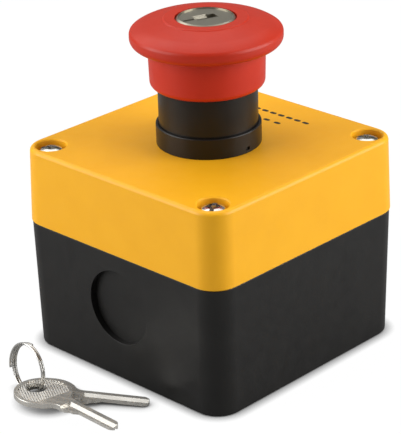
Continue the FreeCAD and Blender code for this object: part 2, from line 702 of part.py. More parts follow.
# Red mushroom head: dome with a flat round the lock, rolled rim, skirt outside the guide tube,
# and a hub inside it that holds the lock and has a channel across it for the latch bolts
head = new_body("mushroom_head")
DOME_SHOULDER = "(%s - dome_shoulder_width)" % HEAD_RADIUS
turned(head, "head", (
    (LOCK_HOLE, HEAD_TOP),
    (PLATFORM, HEAD_TOP),
    (PLATFORM + " + platform_step", HEAD_TOP + " - platform_step"),
    (DOME_SHOULDER, RIM_TOP + " + dome_shoulder_rise"),
    (HEAD_RADIUS, RIM_TOP),
    (HEAD_RADIUS, RIM_BOTTOM),
    (SKIRT_ROOT, RIM_BOTTOM),
    (SKIRT_RADIUS, SKIRT_BOTTOM),
    (SKIRT_BORE, SKIRT_BOTTOM),
    (SKIRT_BORE, HEAD_CEILING),
    (HUB_RADIUS, HEAD_CEILING),
    (HUB_RADIUS, HUB_BOTTOM),
    ("0", HUB_BOTTOM),
    ("0", CHANNEL_LOW),
    (CAM_CHAMBER, CHANNEL_LOW),
    (CAM_CHAMBER, LOCK_BOTTOM),
    (LOCK_BORE, LOCK_BOTTOM),
    (LOCK_BORE, HEAD_TOP + " - lock_gap_depth"),
    (LOCK_HOLE, HEAD_TOP + " - lock_gap_depth"),
))
plan = sketch_on(head, "YZ_Plane", "channel_plan")
rectangle(plan, "-(bolt_width / 2 + bolt_gap)", "bolt_width / 2 + bolt_gap", CHANNEL_LOW, CHANNEL_HIGH)
pocket(head, "bolt_channel", plan, "2 * (%s + slide_clearance)" % HUB_RADIUS, midplane=True)
fillet(head, "dome", "dome_round", ring_edge(DOME_SHOULDER, RIM_TOP + " + dome_shoulder_rise"))
fillet(head, "rim_top", "rim_top_round", ring_edge(HEAD_RADIUS, RIM_TOP))
fillet(head, "rim_bottom", "rim_bottom_round", ring_edge(HEAD_RADIUS, RIM_BOTTOM))
fillet(head, "skirt_edge", "skirt_round", ring_edge(SKIRT_RADIUS, SKIRT_BOTTOM))

# Lock barrel fixed in the hub: a thin metal cup with a bevelled lip round the plug
lock_barrel = new_body("lock_barrel")
turned(lock_barrel, "cup", (
    (NECK_BORE, LOCK_BOTTOM),
    ("lock_radius", LOCK_BOTTOM),
    ("lock_radius", LOCK_FACE + " - lock_edge"),
    ("lock_radius - lock_edge", LOCK_FACE),
    (PLUG_BORE, LOCK_FACE),
    (PLUG_BORE, LOCK_INSIDE),
    (NECK_BORE, LOCK_INSIDE),
))

# Lock plug that the key turns, with its keyway cut down from the face
lock_plug = new_body("lock_plug")
turned(lock_plug, "plug", (
    ("0", CAM_TOP),
    (NECK_RADIUS, CAM_TOP),
    (NECK_RADIUS, LOCK_INSIDE + " + turn_fit"),
    (PLUG_RADIUS, LOCK_INSIDE + " + turn_fit"),
    (PLUG_RADIUS, PLUG_FACE),
    ("0", PLUG_FACE),
))
SLOT_REACH = "(%s - keyway_rim)" % PLUG_RADIUS
plan = sketch_on(lock_plug, "XY_Plane", "keyway_plan", z=PLUG_FACE)
plan.setExpression("AttachmentOffset.Rotation.Angle", bound("-keyway_angle"))
outline(plan, (
    ("-keyway_slot_width / 2", "-" + SLOT_REACH),
    ("keyway_slot_width / 2", "-" + SLOT_REACH),
    ("keyway_slot_width / 2", "-keyway_length / 2"),
    ("keyway_width / 2", "-keyway_length / 2"),
    ("keyway_width / 2", "keyway_length / 2"),
    ("-keyway_width / 2", "keyway_length / 2"),
    ("-keyway_width / 2", "-keyway_length / 2"),
    ("-keyway_slot_width / 2", "-keyway_length / 2"),
))
pocket(lock_plug, "keyway", plan, "%s - %s - keyway_floor" % (PLUG_FACE, LOCK_INSIDE))

# Cam on the plug's neck, with two pins that draw the latch bolts in when the key is turned clockwise
PIN_X = "(cam_pin_offset * cos(cam_pin_angle * 1deg))"
PIN_Y = "(cam_pin_offset * sin(cam_pin_angle * 1deg))"
lock_cam = new_body("lock_cam")
plan = sketch_on(lock_cam, "XY_Plane", "disc_plan", z=CAM_BOTTOM)
circle(plan, "0", "0", CAM_RADIUS)
pad(lock_cam, "disc", plan, "cam_thickness")
plan = sketch_on(lock_cam, "XY_Plane", "pin_plan", z=CAM_BOTTOM)
circle(plan, PIN_X, "-" + PIN_Y, "cam_pin_radius")
circle(plan, "-" + PIN_X, PIN_Y, "cam_pin_radius")
pad(lock_cam, "pins", plan, "cam_gap + bolt_thickness", reverse=True)

# Two latch bolts across the hub: a broad tip outside and an arm beside the middle, with an open slot
# for the cam's pin that is wide enough for the pin's sideways swing
PIN_FAR_Y = "(cam_pin_offset * sin((cam_pin_angle + cam_turn) * 1deg))"
SLOT_HALF = "(cam_pin_radius + pin_clearance)"
SLOT_END = "(%s + %s)" % (PIN_FAR_Y, SLOT_HALF)
BOLT_TIP = "(%s - 2 * slide_clearance)" % HUB_RADIUS
BOLT_SHOULDER = "(sqrt(%s ^ 2 - bolt_width ^ 2 / 4))" % BOLT_TIP
BOLT_NECK = "(%s + bolt_web + %s)" % (PIN_X, SLOT_HALF)
BOLT_INNER = "(%s - bolt_web - %s)" % (PIN_X, SLOT_HALF)
latch_bolts = []
for side, sx, sy in (("right", "", "-"), ("left", "-", "")):
    bolt = new_body("latch_bolt_" + side)
    plan = sketch_on(bolt, "XY_Plane", "plan", z=BOLT_BOTTOM)
    opposite = "-" if sy == "" else ""
    outline(plan, [(sx + x, turn + y) for x, turn, y in (
        (BOLT_INNER, sy, "(bolt_width / 2)"),
        (BOLT_SHOULDER, sy, "(bolt_width / 2)"),
        (BOLT_TIP, sy, "(bolt_nose_width / 2)"),
        (BOLT_TIP, opposite, "(bolt_nose_width / 2)"),
        (BOLT_SHOULDER, opposite, "(bolt_width / 2)"),
        (BOLT_NECK, opposite, "(bolt_width / 2)"),
        (BOLT_NECK, sy, "bolt_arm_gap"),
        ("(%s + %s)" % (PIN_X, SLOT_HALF), sy, "bolt_arm_gap"),
        ("(%s + %s)" % (PIN_X, SLOT_HALF), sy, SLOT_END),
        ("(%s - %s)" % (PIN_X, SLOT_HALF), sy, SLOT_END),
        ("(%s - %s)" % (PIN_X, SLOT_HALF), sy, "bolt_arm_gap"),
        (BOLT_INNER, sy, "bolt_arm_gap"),
    )])
    pad(bolt, "plate", plan, "bolt_thickness")
    latch_bolts.append(bolt)

# Push rod under the hub, through the guide's barrel, with a spigot for its foot
push_rod = new_body("push_rod")
turned(push_rod, "rod", (
    ("0", FOOT_BOTTOM),
    ("spigot_radius", FOOT_BOTTOM),
    ("spigot_radius", FOOT_TOP),
    ("rod_radius", FOOT_TOP),
    ("rod_radius", ROD_FLANGE),
    (ROD_FLANGE_RADIUS, ROD_FLANGE),
    (ROD_FLANGE_RADIUS, HUB_BOTTOM),
    ("0", HUB_BOTTOM),
))

# Foot disc that presses both contact plungers and stops the head's upward travel
push_foot = new_body("push_foot")
turned(push_foot, "disc", (
    ("spigot_radius + thread_clearance", FOOT_BOTTOM),
    (FOOT_RADIUS, FOOT_BOTTOM),
    (FOOT_RADIUS, FOOT_TOP),
    ("spigot_radius + thread_clearance", FOOT_TOP),
))

# Return spring between the guide's seat and the push rod's flange
return_spring = new_body("return_spring")
coil(return_spring, SPRING_RADIUS, "spring_wire", SPRING_SEAT, ROD_FLANGE, "spring_turns")

# Carrier plate on the base's floor: two end walls hold the contact blocks, two ears take its screws
carrier = new_body("contact_carrier")
plan = sketch_on(carrier, "XY_Plane", "plate_plan", z="floor_thickness")
EAR_HALF = "(carrier_ear_width / 2)"
outline(plan, (
    ("-" + BLOCK_REACH, "-" + CARRIER_HALF),
    (BLOCK_REACH, "-" + CARRIER_HALF),
    (BLOCK_REACH, "-" + EAR_HALF),
    (CARRIER_EAR, "-" + EAR_HALF),
    (CARRIER_EAR, EAR_HALF),
    (BLOCK_REACH, EAR_HALF),
    (BLOCK_REACH, CARRIER_HALF),
    ("-" + BLOCK_REACH, CARRIER_HALF),
    ("-" + BLOCK_REACH, EAR_HALF),
    ("-" + CARRIER_EAR, EAR_HALF),
    ("-" + CARRIER_EAR, "-" + EAR_HALF),
    ("-" + BLOCK_REACH, "-" + EAR_HALF),
))
pad(carrier, "plate", plan, "carrier_thickness")
plan = sketch_on(carrier, "XY_Plane", "wall_plan", z="floor_thickness")
for near, far in (("%s - carrier_wall" % CARRIER_HALF, CARRIER_HALF),
                  ("-" + CARRIER_HALF, "-(%s - carrier_wall)" % CARRIER_HALF)):
    rectangle(plan, "-" + BLOCK_REACH, BLOCK_REACH, near, far)
pad(carrier, "end_walls", plan, "carrier_thickness + carrier_wall_height")
plan = sketch_on(carrier, "XY_Plane", "screw_plan", z=BLOCK_BOTTOM)
for sx in ("-", ""):
    circle(plan, sx + CARRIER_SCREW, "0", "carrier_screw_radius + thread_clearance")
pocket(carrier, "screw_holes", plan, "carrier_thickness")

# Two screws through the carrier's ears into the floor
carrier_screws = new_body("carrier_screws")
screw = turned(carrier_screws, "screw", (
    ("0", "floor_thickness - carrier_screw_bite"),
    ("carrier_screw_radius", "floor_thickness - carrier_screw_bite"),
    ("carrier_screw_radius", BLOCK_BOTTOM),
    ("small_head_radius", BLOCK_BOTTOM),
    ("small_head_radius", BLOCK_BOTTOM + " + small_head_height / 2"),
    ("small_head_radius - small_head_height / 2", BLOCK_BOTTOM + " + small_head_height"),
    ("0", BLOCK_BOTTOM + " + small_head_height"),
), CARRIER_SCREW)
polar(carrier_screws, "screws", [screw], 2)

# Two contact blocks: a housing open towards the middle, a plunger with a contact bridge on its
# flange, and a spring under it
contact_pieces = []
for side, sx in (("left", "-"), ("right", "")):
    middle = sx + BLOCK_MIDDLE
    inner = sx + "(block_gap / 2)"
    outer = sx + BLOCK_REACH
    chamber_end = sx + "(%s - block_wall)" % BLOCK_REACH
    block = new_body("contact_block_" + side)
    plan = sketch_on(block, "XY_Plane", "plan", z=BLOCK_BOTTOM)
    rectangle(plan, inner, outer, "-" + BLOCK_HALF, BLOCK_HALF)
    pad(block, "housing", plan, "%s - %s" % (BLOCK_TOP, BLOCK_BOTTOM))
    plan = sketch_on(block, "XY_Plane", "chamber_plan", z=CHAMBER_HIGH)
    rectangle(plan, inner, chamber_end, "-" + CHAMBER_HALF, CHAMBER_HALF)
    pocket(block, "chamber", plan, "%s - %s" % (CHAMBER_HIGH, CHAMBER_LOW))
    plan = sketch_on(block, "XY_Plane", "plunger_plan", z=BLOCK_TOP)
    circle(plan, middle, "0", "plunger_radius + slide_clearance")
    pocket(block, "plunger_hole", plan, "chamber_roof")
    plan = sketch_on(block, "XY_Plane", "terminal_plan", z=BLOCK_TOP)
    for near, far in ((TERMINAL_WALL, BLOCK_HALF), ("-" + BLOCK_HALF, "-" + TERMINAL_WALL)):
        rectangle(plan, "%s - %s / 2" % (middle, TERMINAL_WIDTH),
                  "%s + %s / 2" % (middle, TERMINAL_WIDTH), near, far)
    pocket(block, "terminals", plan, "%s - %s" % (BLOCK_TOP, STRIP_BOTTOM))
    plan = sketch_on(block, "YZ_Plane", "strip_plan", z=middle)
    rectangle(plan, "-" + STRIP_END, STRIP_END, STRIP_BOTTOM, STRIP_TOP + " + strip_fit")
    pocket(block, "strip_slot", plan, "strip_width + 2 * strip_fit", midplane=True)
    plan = sketch_on(block, "XY_Plane", "pilot_plan", z=STRIP_BOTTOM)
    for sy in ("-", ""):
        circle(plan, middle, sy + TERMINAL, "terminal_screw_radius + thread_clearance")
    pocket(block, "terminal_pilots", plan, "terminal_screw_bite + pilot_spare")

    plunger = new_body("contact_plunger_" + side)
    turned(plunger, "plunger", (
        ("0", PLUNGER_FOOT),
        (PLUNGER_FLANGE, PLUNGER_FOOT),
        (PLUNGER_FLANGE, BRIDGE_BOTTOM),
        ("plunger_radius", BRIDGE_BOTTOM),
        ("plunger_radius", PLUNGER_TOP + " - plunger_edge"),
        ("plunger_radius - plunger_edge", PLUNGER_TOP),
        ("0", PLUNGER_TOP),
    ), middle)

    bridge = new_body("contact_bridge_" + side)
    plan = sketch_on(bridge, "XY_Plane", "plan", z=BRIDGE_BOTTOM)
    rectangle(plan, middle + " - bridge_width / 2", middle + " + bridge_width / 2",
              "-bridge_length / 2", "bridge_length / 2")
    pad(bridge, "bar", plan, "bridge_thickness")
    plan = sketch_on(bridge, "XY_Plane", "boss_plan", z=BRIDGE_BOTTOM)
    circle(plan, middle, "0", "plunger_radius + bridge_boss_wall")
    pad(bridge, "boss", plan, "bridge_thickness")
    plan = sketch_on(bridge, "XY_Plane", "hole_plan", z=BRIDGE_TOP)
    circle(plan, middle, "0", "plunger_radius + thread_clearance")
    pocket(bridge, "hole", plan, "bridge_thickness")

    spring = new_body("contact_spring_" + side)
    coil(spring, "contact_spring_radius", "contact_spring_wire", CHAMBER_LOW, PLUNGER_FOOT,
         "contact_spring_turns")
    spring.setExpression("Placement.Base.x", bound(middle))
    contact_pieces += [block, plunger, bridge, spring]


# Straight piece at each of the four terminals, with a hole for its screw
def at_terminals(label, low, thickness, width, near, far):
    body = new_body(label)
    plan = sketch_on(body, "XY_Plane", "plan", z=low)
    holes = sketch_on(body, "XY_Plane", "hole_plan", z=low)
    for sx in ("-", ""):
        x = sx + BLOCK_MIDDLE
        for start, end, sy in ((near, far, ""), ("-(%s)" % far, "-(%s)" % near, "-")):
            rectangle(plan, "%s - %s / 2" % (x, width), "%s + %s / 2" % (x, width), start, end)
            circle(holes, x, sy + TERMINAL, "terminal_screw_radius + thread_clearance")
    pad(body, "plates", plan, thickness)
    pocket(body, "screw_holes", holes, thickness, reverse=True)
    return body


# Fixed contact strips from over the bridge's ends out to the terminals, and their wire clamps
fixed_contacts = at_terminals("fixed_contacts", STRIP_BOTTOM, "strip_thickness", "strip_width",
                              STRIP_START, STRIP_END)
terminal_clamps = at_terminals("terminal_clamps", STRIP_TOP, "clamp_thickness", "clamp_size",
                               CLAMP_START, CLAMP_END)

# Terminal screws
terminal_screws = new_body("terminal_screws")
for side, sy in (("back", ""), ("front", "-")):
    for hand, sx in (("left", "-"), ("right", "")):
        turned(terminal_screws, "screw_%s_%s" % (side, hand), (
            ("0", STRIP_BOTTOM + " - terminal_screw_bite"),
            ("terminal_screw_radius", STRIP_BOTTOM + " - terminal_screw_bite"),
            ("terminal_screw_radius", CLAMP_TOP),
            ("small_head_radius", CLAMP_TOP),
            ("small_head_radius", CLAMP_TOP + " + small_head_height"),
            ("0", CLAMP_TOP + " + small_head_height"),
        ), sx + BLOCK_MIDDLE, sy + TERMINAL)


# Flat key in its own frame: hole at the origin, blade along +X; a round bow, a blade with one edge
# stepped down by its cuts, a blunt nose and a groove milled along each face
def make_key(label):
    key = new_body(label)
    plan = sketch_on(key, "XY_Plane", "bow_plan")
    circle(plan, "key_bow_offset", "0", "key_bow_radius")
    pad(key, "bow", plan, "key_thickness")
    edge = "(key_blade_width / 2)"
    first_cut = "(key_blade_width / 2 - key_first_cut)"
    last_cut = "(key_blade_width / 2 - key_bitting_depth)"
    root = "(key_bow_offset + key_bow_radius - key_blade_sink)"
    land = "(key_shoulder + key_cut_slope)"
    land_end = "(%s + key_land)" % land
    middle = "(key_bitting_depth / 2)"
    plan = sketch_on(key, "XY_Plane", "blade_plan")
    outline(plan, (
        (root, "-" + edge),
        ("key_shoulder", "-" + edge),
        (land, "-" + first_cut),
        (land_end, "-" + first_cut),
        (land_end + " + key_cut_slope", "-" + last_cut),
        ("key_reach - key_nose_length", "-" + last_cut),
        ("key_reach", middle + " - key_tip_width / 2"),
        ("key_reach", middle + " + key_tip_width / 2"),
        ("key_reach - key_nose_length", edge),
        (root, edge),
    ))
    pad(key, "blade", plan, "key_thickness")
    neck = value("key_bow_offset + sqrt(key_bow_radius ^ 2 - (key_blade_width / 2) ^ 2)")
    fillet(key, "neck", "key_neck_round",
           lambda box: abs(box.XMin - neck) < 1e-3 and abs(box.XMax - neck) < 1e-3)
    plan = sketch_on(key, "XY_Plane", "hole_plan", z="key_thickness")
    circle(plan, "0", "0", "key_hole_radius")
    pocket(key, "hole", plan, "key_thickness")
    for name, height, reverse in (("upper_groove", "key_thickness", False), ("lower_groove", "0", True)):
        plan = sketch_on(key, "XY_Plane", name + "_plan", z=height)
        rectangle(plan, "key_bow_offset + key_bow_radius", "key_reach + key_groove_width",
                  middle + " - key_groove_width / 2", middle + " + key_groove_width / 2")
        pocket(key, name, plan, "key_groove_depth", reverse=reverse)
    return key


# The keys lie flat on each other with their near sides raised, and the lower one's nose on the floor
key_lower = make_key("key_lower")
key_upper = make_key("key_upper")
ALONG, UP = Vector(1, 0, 0), Vector(0, 0, 1)
rolled = Rotation(UP, value("key_upper_angle")) * Rotation(ALONG, value("-key_roll_angle"))
spread = rolled * Rotation(UP, value("key_spread_angle"))
nose = spread.multVec(Vector(value("key_reach"), value("(key_bitting_depth + key_tip_width) / 2"), 0))
hole_place = Vector(value("key_hole_place_x"), value("-(box_depth / 2 + key_hole_distance)"),
                    value("ring_lift") - nose.z)
stacked = Vector(value("key_upper_shift_x"), value("key_upper_shift_y"),
                 value("key_thickness + key_stack_gap"))
key_lower.Placement = Placement(hole_place, spread)
key_upper.Placement = Placement(hole_place + rolled.multVec(stacked), rolled)

# Split ring of square wire through both keys' holes, leaning back with its lowest edge on the floor
key_ring = new_body("key_ring")
RING_RISE = "(ring_turns * ring_pitch + ring_wire)"
coil(key_ring, "ring_radius", "ring_wire", "-%s / 2" % RING_RISE, RING_RISE + " / 2", "ring_turns")
standing = value("(ring_radius + ring_wire / 2) * cos(ring_lean_angle * 1deg)")
sideways = value(RING_RISE + " / 2 * sin(ring_lean_angle * 1deg)")
key_ring.Placement = Placement(
    Vector(value("key_hole_place_x - ring_set_back"),
           value("ring_set_in - box_depth / 2 - key_hole_distance"),
           standing + sideways + value("ring_lift")),
    Rotation(UP, value("ring_yaw_angle")) * Rotation(ALONG, value("-90 - ring_lean_angle"))
    * Rotation(UP, value("ring_end_angle")))
doc.recompute()

# Test every object, then write each piece to its own file
pieces = [
    base, cover, cover_gasket, cover_screws, guide, wiper_seal, bezel_ring, panel_gasket, lock_washer,
    fixing_nut, head, lock_barrel, lock_plug, lock_cam, *latch_bolts, push_rod, push_foot,
    return_spring, carrier, carrier_screws, *contact_pieces, fixed_contacts, terminal_clamps,
    terminal_screws, key_lower, key_upper, key_ring,
]
for item in doc.Objects:
    if "Invalid" in item.State or "Error" in item.State:
        raise RuntimeError("%s did not build: %s" % (item.Label, item.State))
for piece in pieces:
    if piece.Shape.isNull() or not piece.Shape.isValid():
        raise RuntimeError("%s has no valid solid" % piece.Label)
os.makedirs("parts", exist_ok=True)
for piece in pieces:
    piece.Shape.exportStep("parts/%s.step" % piece.Label)
    print("%-24s %d solid %9.1f mm3" % (piece.Label, len(piece.Shape.Solids), piece.Shape.Volume))
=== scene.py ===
import math

import bmesh
import bpy
from mathutils import Matrix, Vector


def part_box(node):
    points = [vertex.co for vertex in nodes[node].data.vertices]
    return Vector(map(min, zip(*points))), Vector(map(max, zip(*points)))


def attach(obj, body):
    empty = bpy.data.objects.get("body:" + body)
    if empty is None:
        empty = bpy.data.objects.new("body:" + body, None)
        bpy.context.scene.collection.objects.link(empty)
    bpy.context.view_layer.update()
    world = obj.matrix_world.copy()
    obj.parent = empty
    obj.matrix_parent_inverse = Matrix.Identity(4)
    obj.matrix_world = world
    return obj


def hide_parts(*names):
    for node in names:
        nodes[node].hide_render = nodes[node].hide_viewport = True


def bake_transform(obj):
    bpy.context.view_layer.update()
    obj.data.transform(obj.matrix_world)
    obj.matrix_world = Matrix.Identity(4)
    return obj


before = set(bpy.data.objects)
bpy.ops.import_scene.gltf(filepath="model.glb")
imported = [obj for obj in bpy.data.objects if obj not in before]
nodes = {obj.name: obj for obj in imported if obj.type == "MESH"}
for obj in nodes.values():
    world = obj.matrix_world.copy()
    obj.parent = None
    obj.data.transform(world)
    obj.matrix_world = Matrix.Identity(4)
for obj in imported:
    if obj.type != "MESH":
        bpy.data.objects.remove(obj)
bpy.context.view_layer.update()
MM = 0.001

# Base of the box: a black tray, injection moulded with a little draft and a rounded foot.
# Wall screws go through four holes in its floor, a thin disc in each end wall is to be knocked
# out for a cable gland, and four posts in the corners take the cover's screws.


def srgb(red, green, blue):
    """A colour as a screen shows it, 0 to 255, in the linear values that a shader takes."""
    levels = [level / 255 for level in (red, green, blue)]
    return [x / 12.92 if x <= 0.04045 else ((x + 0.055) / 1.055) ** 2.4 for x in levels] + [1.0]


def shader(name):
    """A new material with its node tree and its main shader."""
    material = bpy.data.materials.new(name)
    material.use_nodes = True
    return material, material.node_tree, material.node_tree.nodes["Principled BSDF"]


def noise(tree, size, detail=2.0, stretch=(1, 1, 1), turn=0.0):
    """Noise with grains of that size, stretched along the axes after a turn about the vertical."""
    where = tree.nodes.new("ShaderNodeTexCoord")
    mapping = tree.nodes.new("ShaderNodeMapping")
    mapping.vector_type = "TEXTURE"
    mapping.inputs["Rotation"].default_value[2] = turn
    mapping.inputs["Scale"].default_value = [size * share for share in stretch]
    grain = tree.nodes.new("ShaderNodeTexNoise")
    grain.inputs["Scale"].default_value = 1.0
    grain.inputs["Detail"].default_value = detail
    tree.links.new(where.outputs["Object"], mapping.inputs["Vector"])
    tree.links.new(mapping.outputs["Vector"], grain.inputs["Vector"])
    return grain.outputs[0]


def spread(tree, source, socket, low, high):
    """Feed a noise into a socket as values from low to high."""
    noise_low, noise_high = 0.3, 0.7
    scale = tree.nodes.new("ShaderNodeMapRange")
    scale.inputs["From Min"].default_value = noise_low
    scale.inputs["From Max"].default_value = noise_high
    scale.inputs["To Min"].default_value = low
    scale.inputs["To Max"].default_value = high
    tree.links.new(source, scale.inputs["Value"])
    tree.links.new(scale.outputs["Result"], socket)


def tint(tree, source, socket, first, second):
    """Feed a noise into a socket as a colour between two."""
    blend = tree.nodes.new("ShaderNodeMix")
    blend.data_type = "RGBA"
    factor, first_socket, second_socket = blend.inputs[0], blend.inputs[6], blend.inputs[7]
    spread(tree, source, factor, 0, 1)
    first_socket.default_value = first
    second_socket.default_value = second
    tree.links.new(blend.outputs[2], socket)


def relief(tree, source, shade, depth):
    """Make a noise the fine relief of the surface."""
    bump = tree.nodes.new("ShaderNodeBump")
    bump.inputs["Distance"].default_value = depth
    tree.links.new(source, bump.inputs["Height"])
    tree.links.new(bump.outputs["Normal"], shade.inputs["Normal"])


def moulded(name, first, second, roughness, grain, depth):
    """Moulded plastic: faint clouds between two colours, uneven gloss and a fine grain."""
    cloud_size, patch_size, uneven = 9 * MM, 3 * MM, 0.05
    material, tree, shade = shader(name)
    shade.inputs["Specular IOR Level"].default_value = 0.33
    tint(tree, noise(tree, cloud_size, 4), shade.inputs["Base Color"], first, second)
    spread(tree, noise(tree, patch_size, 3), shade.inputs["Roughness"], roughness - uneven,
           roughness + uneven)
    relief(tree, noise(tree, grain), shade, depth)
    return material


def show(name, data):
    """Put a mesh, a lamp or a camera into the scene."""
    item = bpy.data.objects.new(name, data)
    bpy.context.scene.collection.objects.link(item)
    return item


def add_piece(name, shape):
    """Turn a bmesh into a piece of the scene, with its faces outwards."""
    bmesh.ops.recalc_face_normals(shape, faces=shape.faces)
    mesh = bpy.data.meshes.new(name)
    shape.to_mesh(mesh)
    shape.free()
    return show(name, mesh)


def skin(name, rows, ring=False):
    """A closed piece through rows of points; a row of one point is a tip, and a ring has no ends."""
    shape = bmesh.new()
    rows = [[shape.verts.new(point) for point in row] for row in rows]
    around = max(len(row) for row in rows)
    for lower, upper in zip(rows, rows[1:] + rows[:1] if ring else rows[1:]):
        for i in range(around):
            j = (i + 1) % around
            corners = [row[k % len(row)] for row, k in ((lower, i), (lower, j), (upper, j), (upper, i))]
            shape.faces.new(list(dict.fromkeys(corners)))
    if not ring:
        for row in (rows[0], rows[-1]):
            if len(row) > 2:
                shape.faces.new(row)
    return add_piece(name, shape)


def square_ring(half, radius, height, steps=9):
    """Points of a square with rounded corners, at one height."""
    points = []
    for quarter, (sx, sy) in enumerate(((1, 1), (-1, 1), (-1, -1), (1, -1))):
        for step in range(steps + 1):
            angle = math.radians(90) * (quarter + step / steps)
            points.append((sx * (half - radius) + radius * math.cos(angle),
                           sy * (half - radius) + radius * math.sin(angle), height))
    return points


def softened(points, steps=6):
    """An outline of (across, up, radius) points with each corner rounded to its radius."""
    outline = []
    for i, (across, up, radius) in enumerate(points):
        here = Vector((across, up))
        if radius == 0:
            outline.append(here)
            continue
        before = (Vector(points[i - 1][:2]) - here).normalized()
        after = (Vector(points[(i + 1) % len(points)][:2]) - here).normalized()
        half = before.angle(after) / 2
        centre = here + (before + after).normalized() * radius / math.sin(half)
        start = (here + before * radius / math.tan(half) - centre) / radius
        end = (here + after * radius / math.tan(half) - centre) / radius
        outline += [centre + radius * start.slerp(end, step / steps) for step in range(steps + 1)]
    return outline


def turned(name, outline, place=(0, 0, 0), ring=False, around=96):
    """A turned piece from an outline of (radius, height), about a vertical line through a place."""
    rows = []
    for radius, height in outline:
        angles = [math.tau * i / around for i in range(around if radius > 1e-7 else 1)]
        rows.append([Vector(place) + Vector((radius * math.cos(a), radius * math.sin(a), height))
                     for a in angles])
    return skin(name, rows, ring)


def apply_modifiers(piece):
    """Replace a piece's mesh by what its modifiers make of it."""
    bpy.context.view_layer.update()
    shown = piece.evaluated_get(bpy.context.evaluated_depsgraph_get())
    mesh = bpy.data.meshes.new_from_object(shown)
    piece.modifiers.clear()
    piece.data = mesh
    return piece


def combine(piece, others, operation="DIFFERENCE"):
    """Cut other pieces from a piece, or add them to it, and remove them."""
    for other in others:
        modifier = piece.modifiers.new("combine", "BOOLEAN")
        modifier.object = other
        modifier.operation = operation
        modifier.solver = "EXACT"
    apply_modifiers(piece)
    for other in others:
        bpy.data.objects.remove(other)
    return piece


def smooth(piece, sharp):
    """Smooth a piece, except at edges that turn by more than so many degrees."""
    piece.data.shade_smooth()
    piece.data.set_sharp_from_angle(angle=math.radians(sharp))


def coat(piece, material):
    """Give a piece one material."""
    piece.data.materials.clear()
    piece.data.materials.append(material)


def finish(piece, material, body, replaced=(), sharp=32):
    """Smooth a piece with its flat faces kept flat, coat it and tie it to its body."""
    smooth(piece, sharp)
    piece.modifiers.new("flat_faces_stay_flat", "WEIGHTED_NORMAL").keep_sharp = True
    apply_modifiers(piece)
    coat(piece, material)
    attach(piece, body)
    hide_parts(*replaced)


def at_corners(reach_x, reach_y):
    """The four places that far out from the middle."""
    return [(sx * reach_x, sy * reach_y) for sx in (-1, 1) for sy in (-1, 1)]


base_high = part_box("base")[1]
cover_low, cover_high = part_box("cover")
split = base_high.z
corner = 7 * MM
wall = 2.8 * MM
floor_top = 3 * MM
foot_edge = 0.5 * MM
base_half = base_high.x
base_lean = 0.9
base_draft = math.tan(math.radians(base_lean))
seal_land = 0.8 * MM
seal_width = 1.1 * MM
seal_depth = 2 * MM
screw_reach = 29.502 * MM
base_post = 4.6 * MM
fixing_reach = (20 * MM, 25 * MM)
fixing_radius = 2.2 * MM
entry_height = 21 * MM
entry_radius = 10.3 * MM
entry_recess = 1.76 * MM
entry_mouth = 0.05 * MM
small_edge = 0.3 * MM


def base_ring(inset, height):
    """Points round the base at one height, so far in from its drafted sides."""
    side = base_half - (split - height) * base_draft
    return square_ring(side - inset, corner - inset, height)


foot = [base_ring(foot_edge * (1 - math.sin(a)), foot_edge * (1 - math.cos(a)))
        for a in [math.radians(90) * step / 6 for step in range(7)]]
base = skin("base_shell", foot + [
    base_ring(0, split - small_edge / 2),
    base_ring(small_edge / 2, split),
    base_ring(seal_land, split),
    base_ring(seal_land, split - seal_depth),
    base_ring(seal_land + seal_width, split - seal_depth),
    base_ring(seal_land + seal_width, split),
    base_ring(wall, split),
    base_ring(wall, floor_top),
])
combine(base, [
    turned("post", [(0, floor_top / 2), (base_post, floor_top / 2), (base_post, split - small_edge),
                    (0, split - small_edge)], (x, y, 0))
    for x, y in at_corners(screw_reach, screw_reach)], "UNION")
cuts = [turned("fixing", [(0, -MM), (fixing_radius + small_edge, -MM), (fixing_radius + small_edge, 0),
                          (fixing_radius, small_edge), (fixing_radius, 2 * floor_top), (0, 2 * floor_top)],
               (x, y, 0), around=48) for x, y in at_corners(*fixing_reach)]
entry = softened([
    (0, entry_recess, 0),
    (entry_radius, entry_recess, 0),
    (entry_radius, entry_mouth, 0),
    (entry_radius + entry_mouth, 0, 0),
    (entry_radius + entry_mouth, -MM, 0),
    (0, -MM, 0),
])
for end in (-1, 1):
    cut = turned("entry", entry)
    lean = Matrix.Rotation(math.radians(-end * (90 + base_lean)), 4, "X")
    place = Vector((0, end * (base_half - (split - entry_height) * base_draft), entry_height))
    cut.data.transform(Matrix.Translation(place) @ lean @ Matrix.Scale(-1, 4, (0, 0, 1)))
    cut.data.flip_normals()
    cuts.append(cut)
combine(base, cuts)
black_plastic = moulded("black_plastic", srgb(20, 19, 18), srgb(26, 25, 23),
                        roughness=0.42, grain=0.35 * MM, depth=0.012 * MM)
finish(base, black_plastic, "box", ["base"])

# Contact blocks on their carrier inside the base, with plungers, bridges, strips and clamps, and the
# rod that presses them: pale moulded plastic, stamped brass and plated steel screws. They keep
# their CAD shapes.


def plated(name, colour, roughness, streak, turn=0.0, sheen=1.0):
    """Plated metal with fine streaks, long along its own first axis; less sheen makes it milkier."""
    stretch, streak_depth, uneven = (14, 1, 1), 0.0025 * MM, 0.08
    material, tree, shade = shader(name)
    shade.inputs["Metallic"].default_value = sheen
    shade.inputs["Base Color"].default_value = colour
    lines = noise(tree, streak, 3, stretch, turn)
    spread(tree, lines, shade.inputs["Roughness"], roughness - uneven, roughness + uneven)
    relief(tree, lines, shade, streak_depth)
    return material


def dress(material, slot, *names):
    """Give CAD nodes, as they are, a better material."""
    for name in names:
        coat(nodes[name], material)


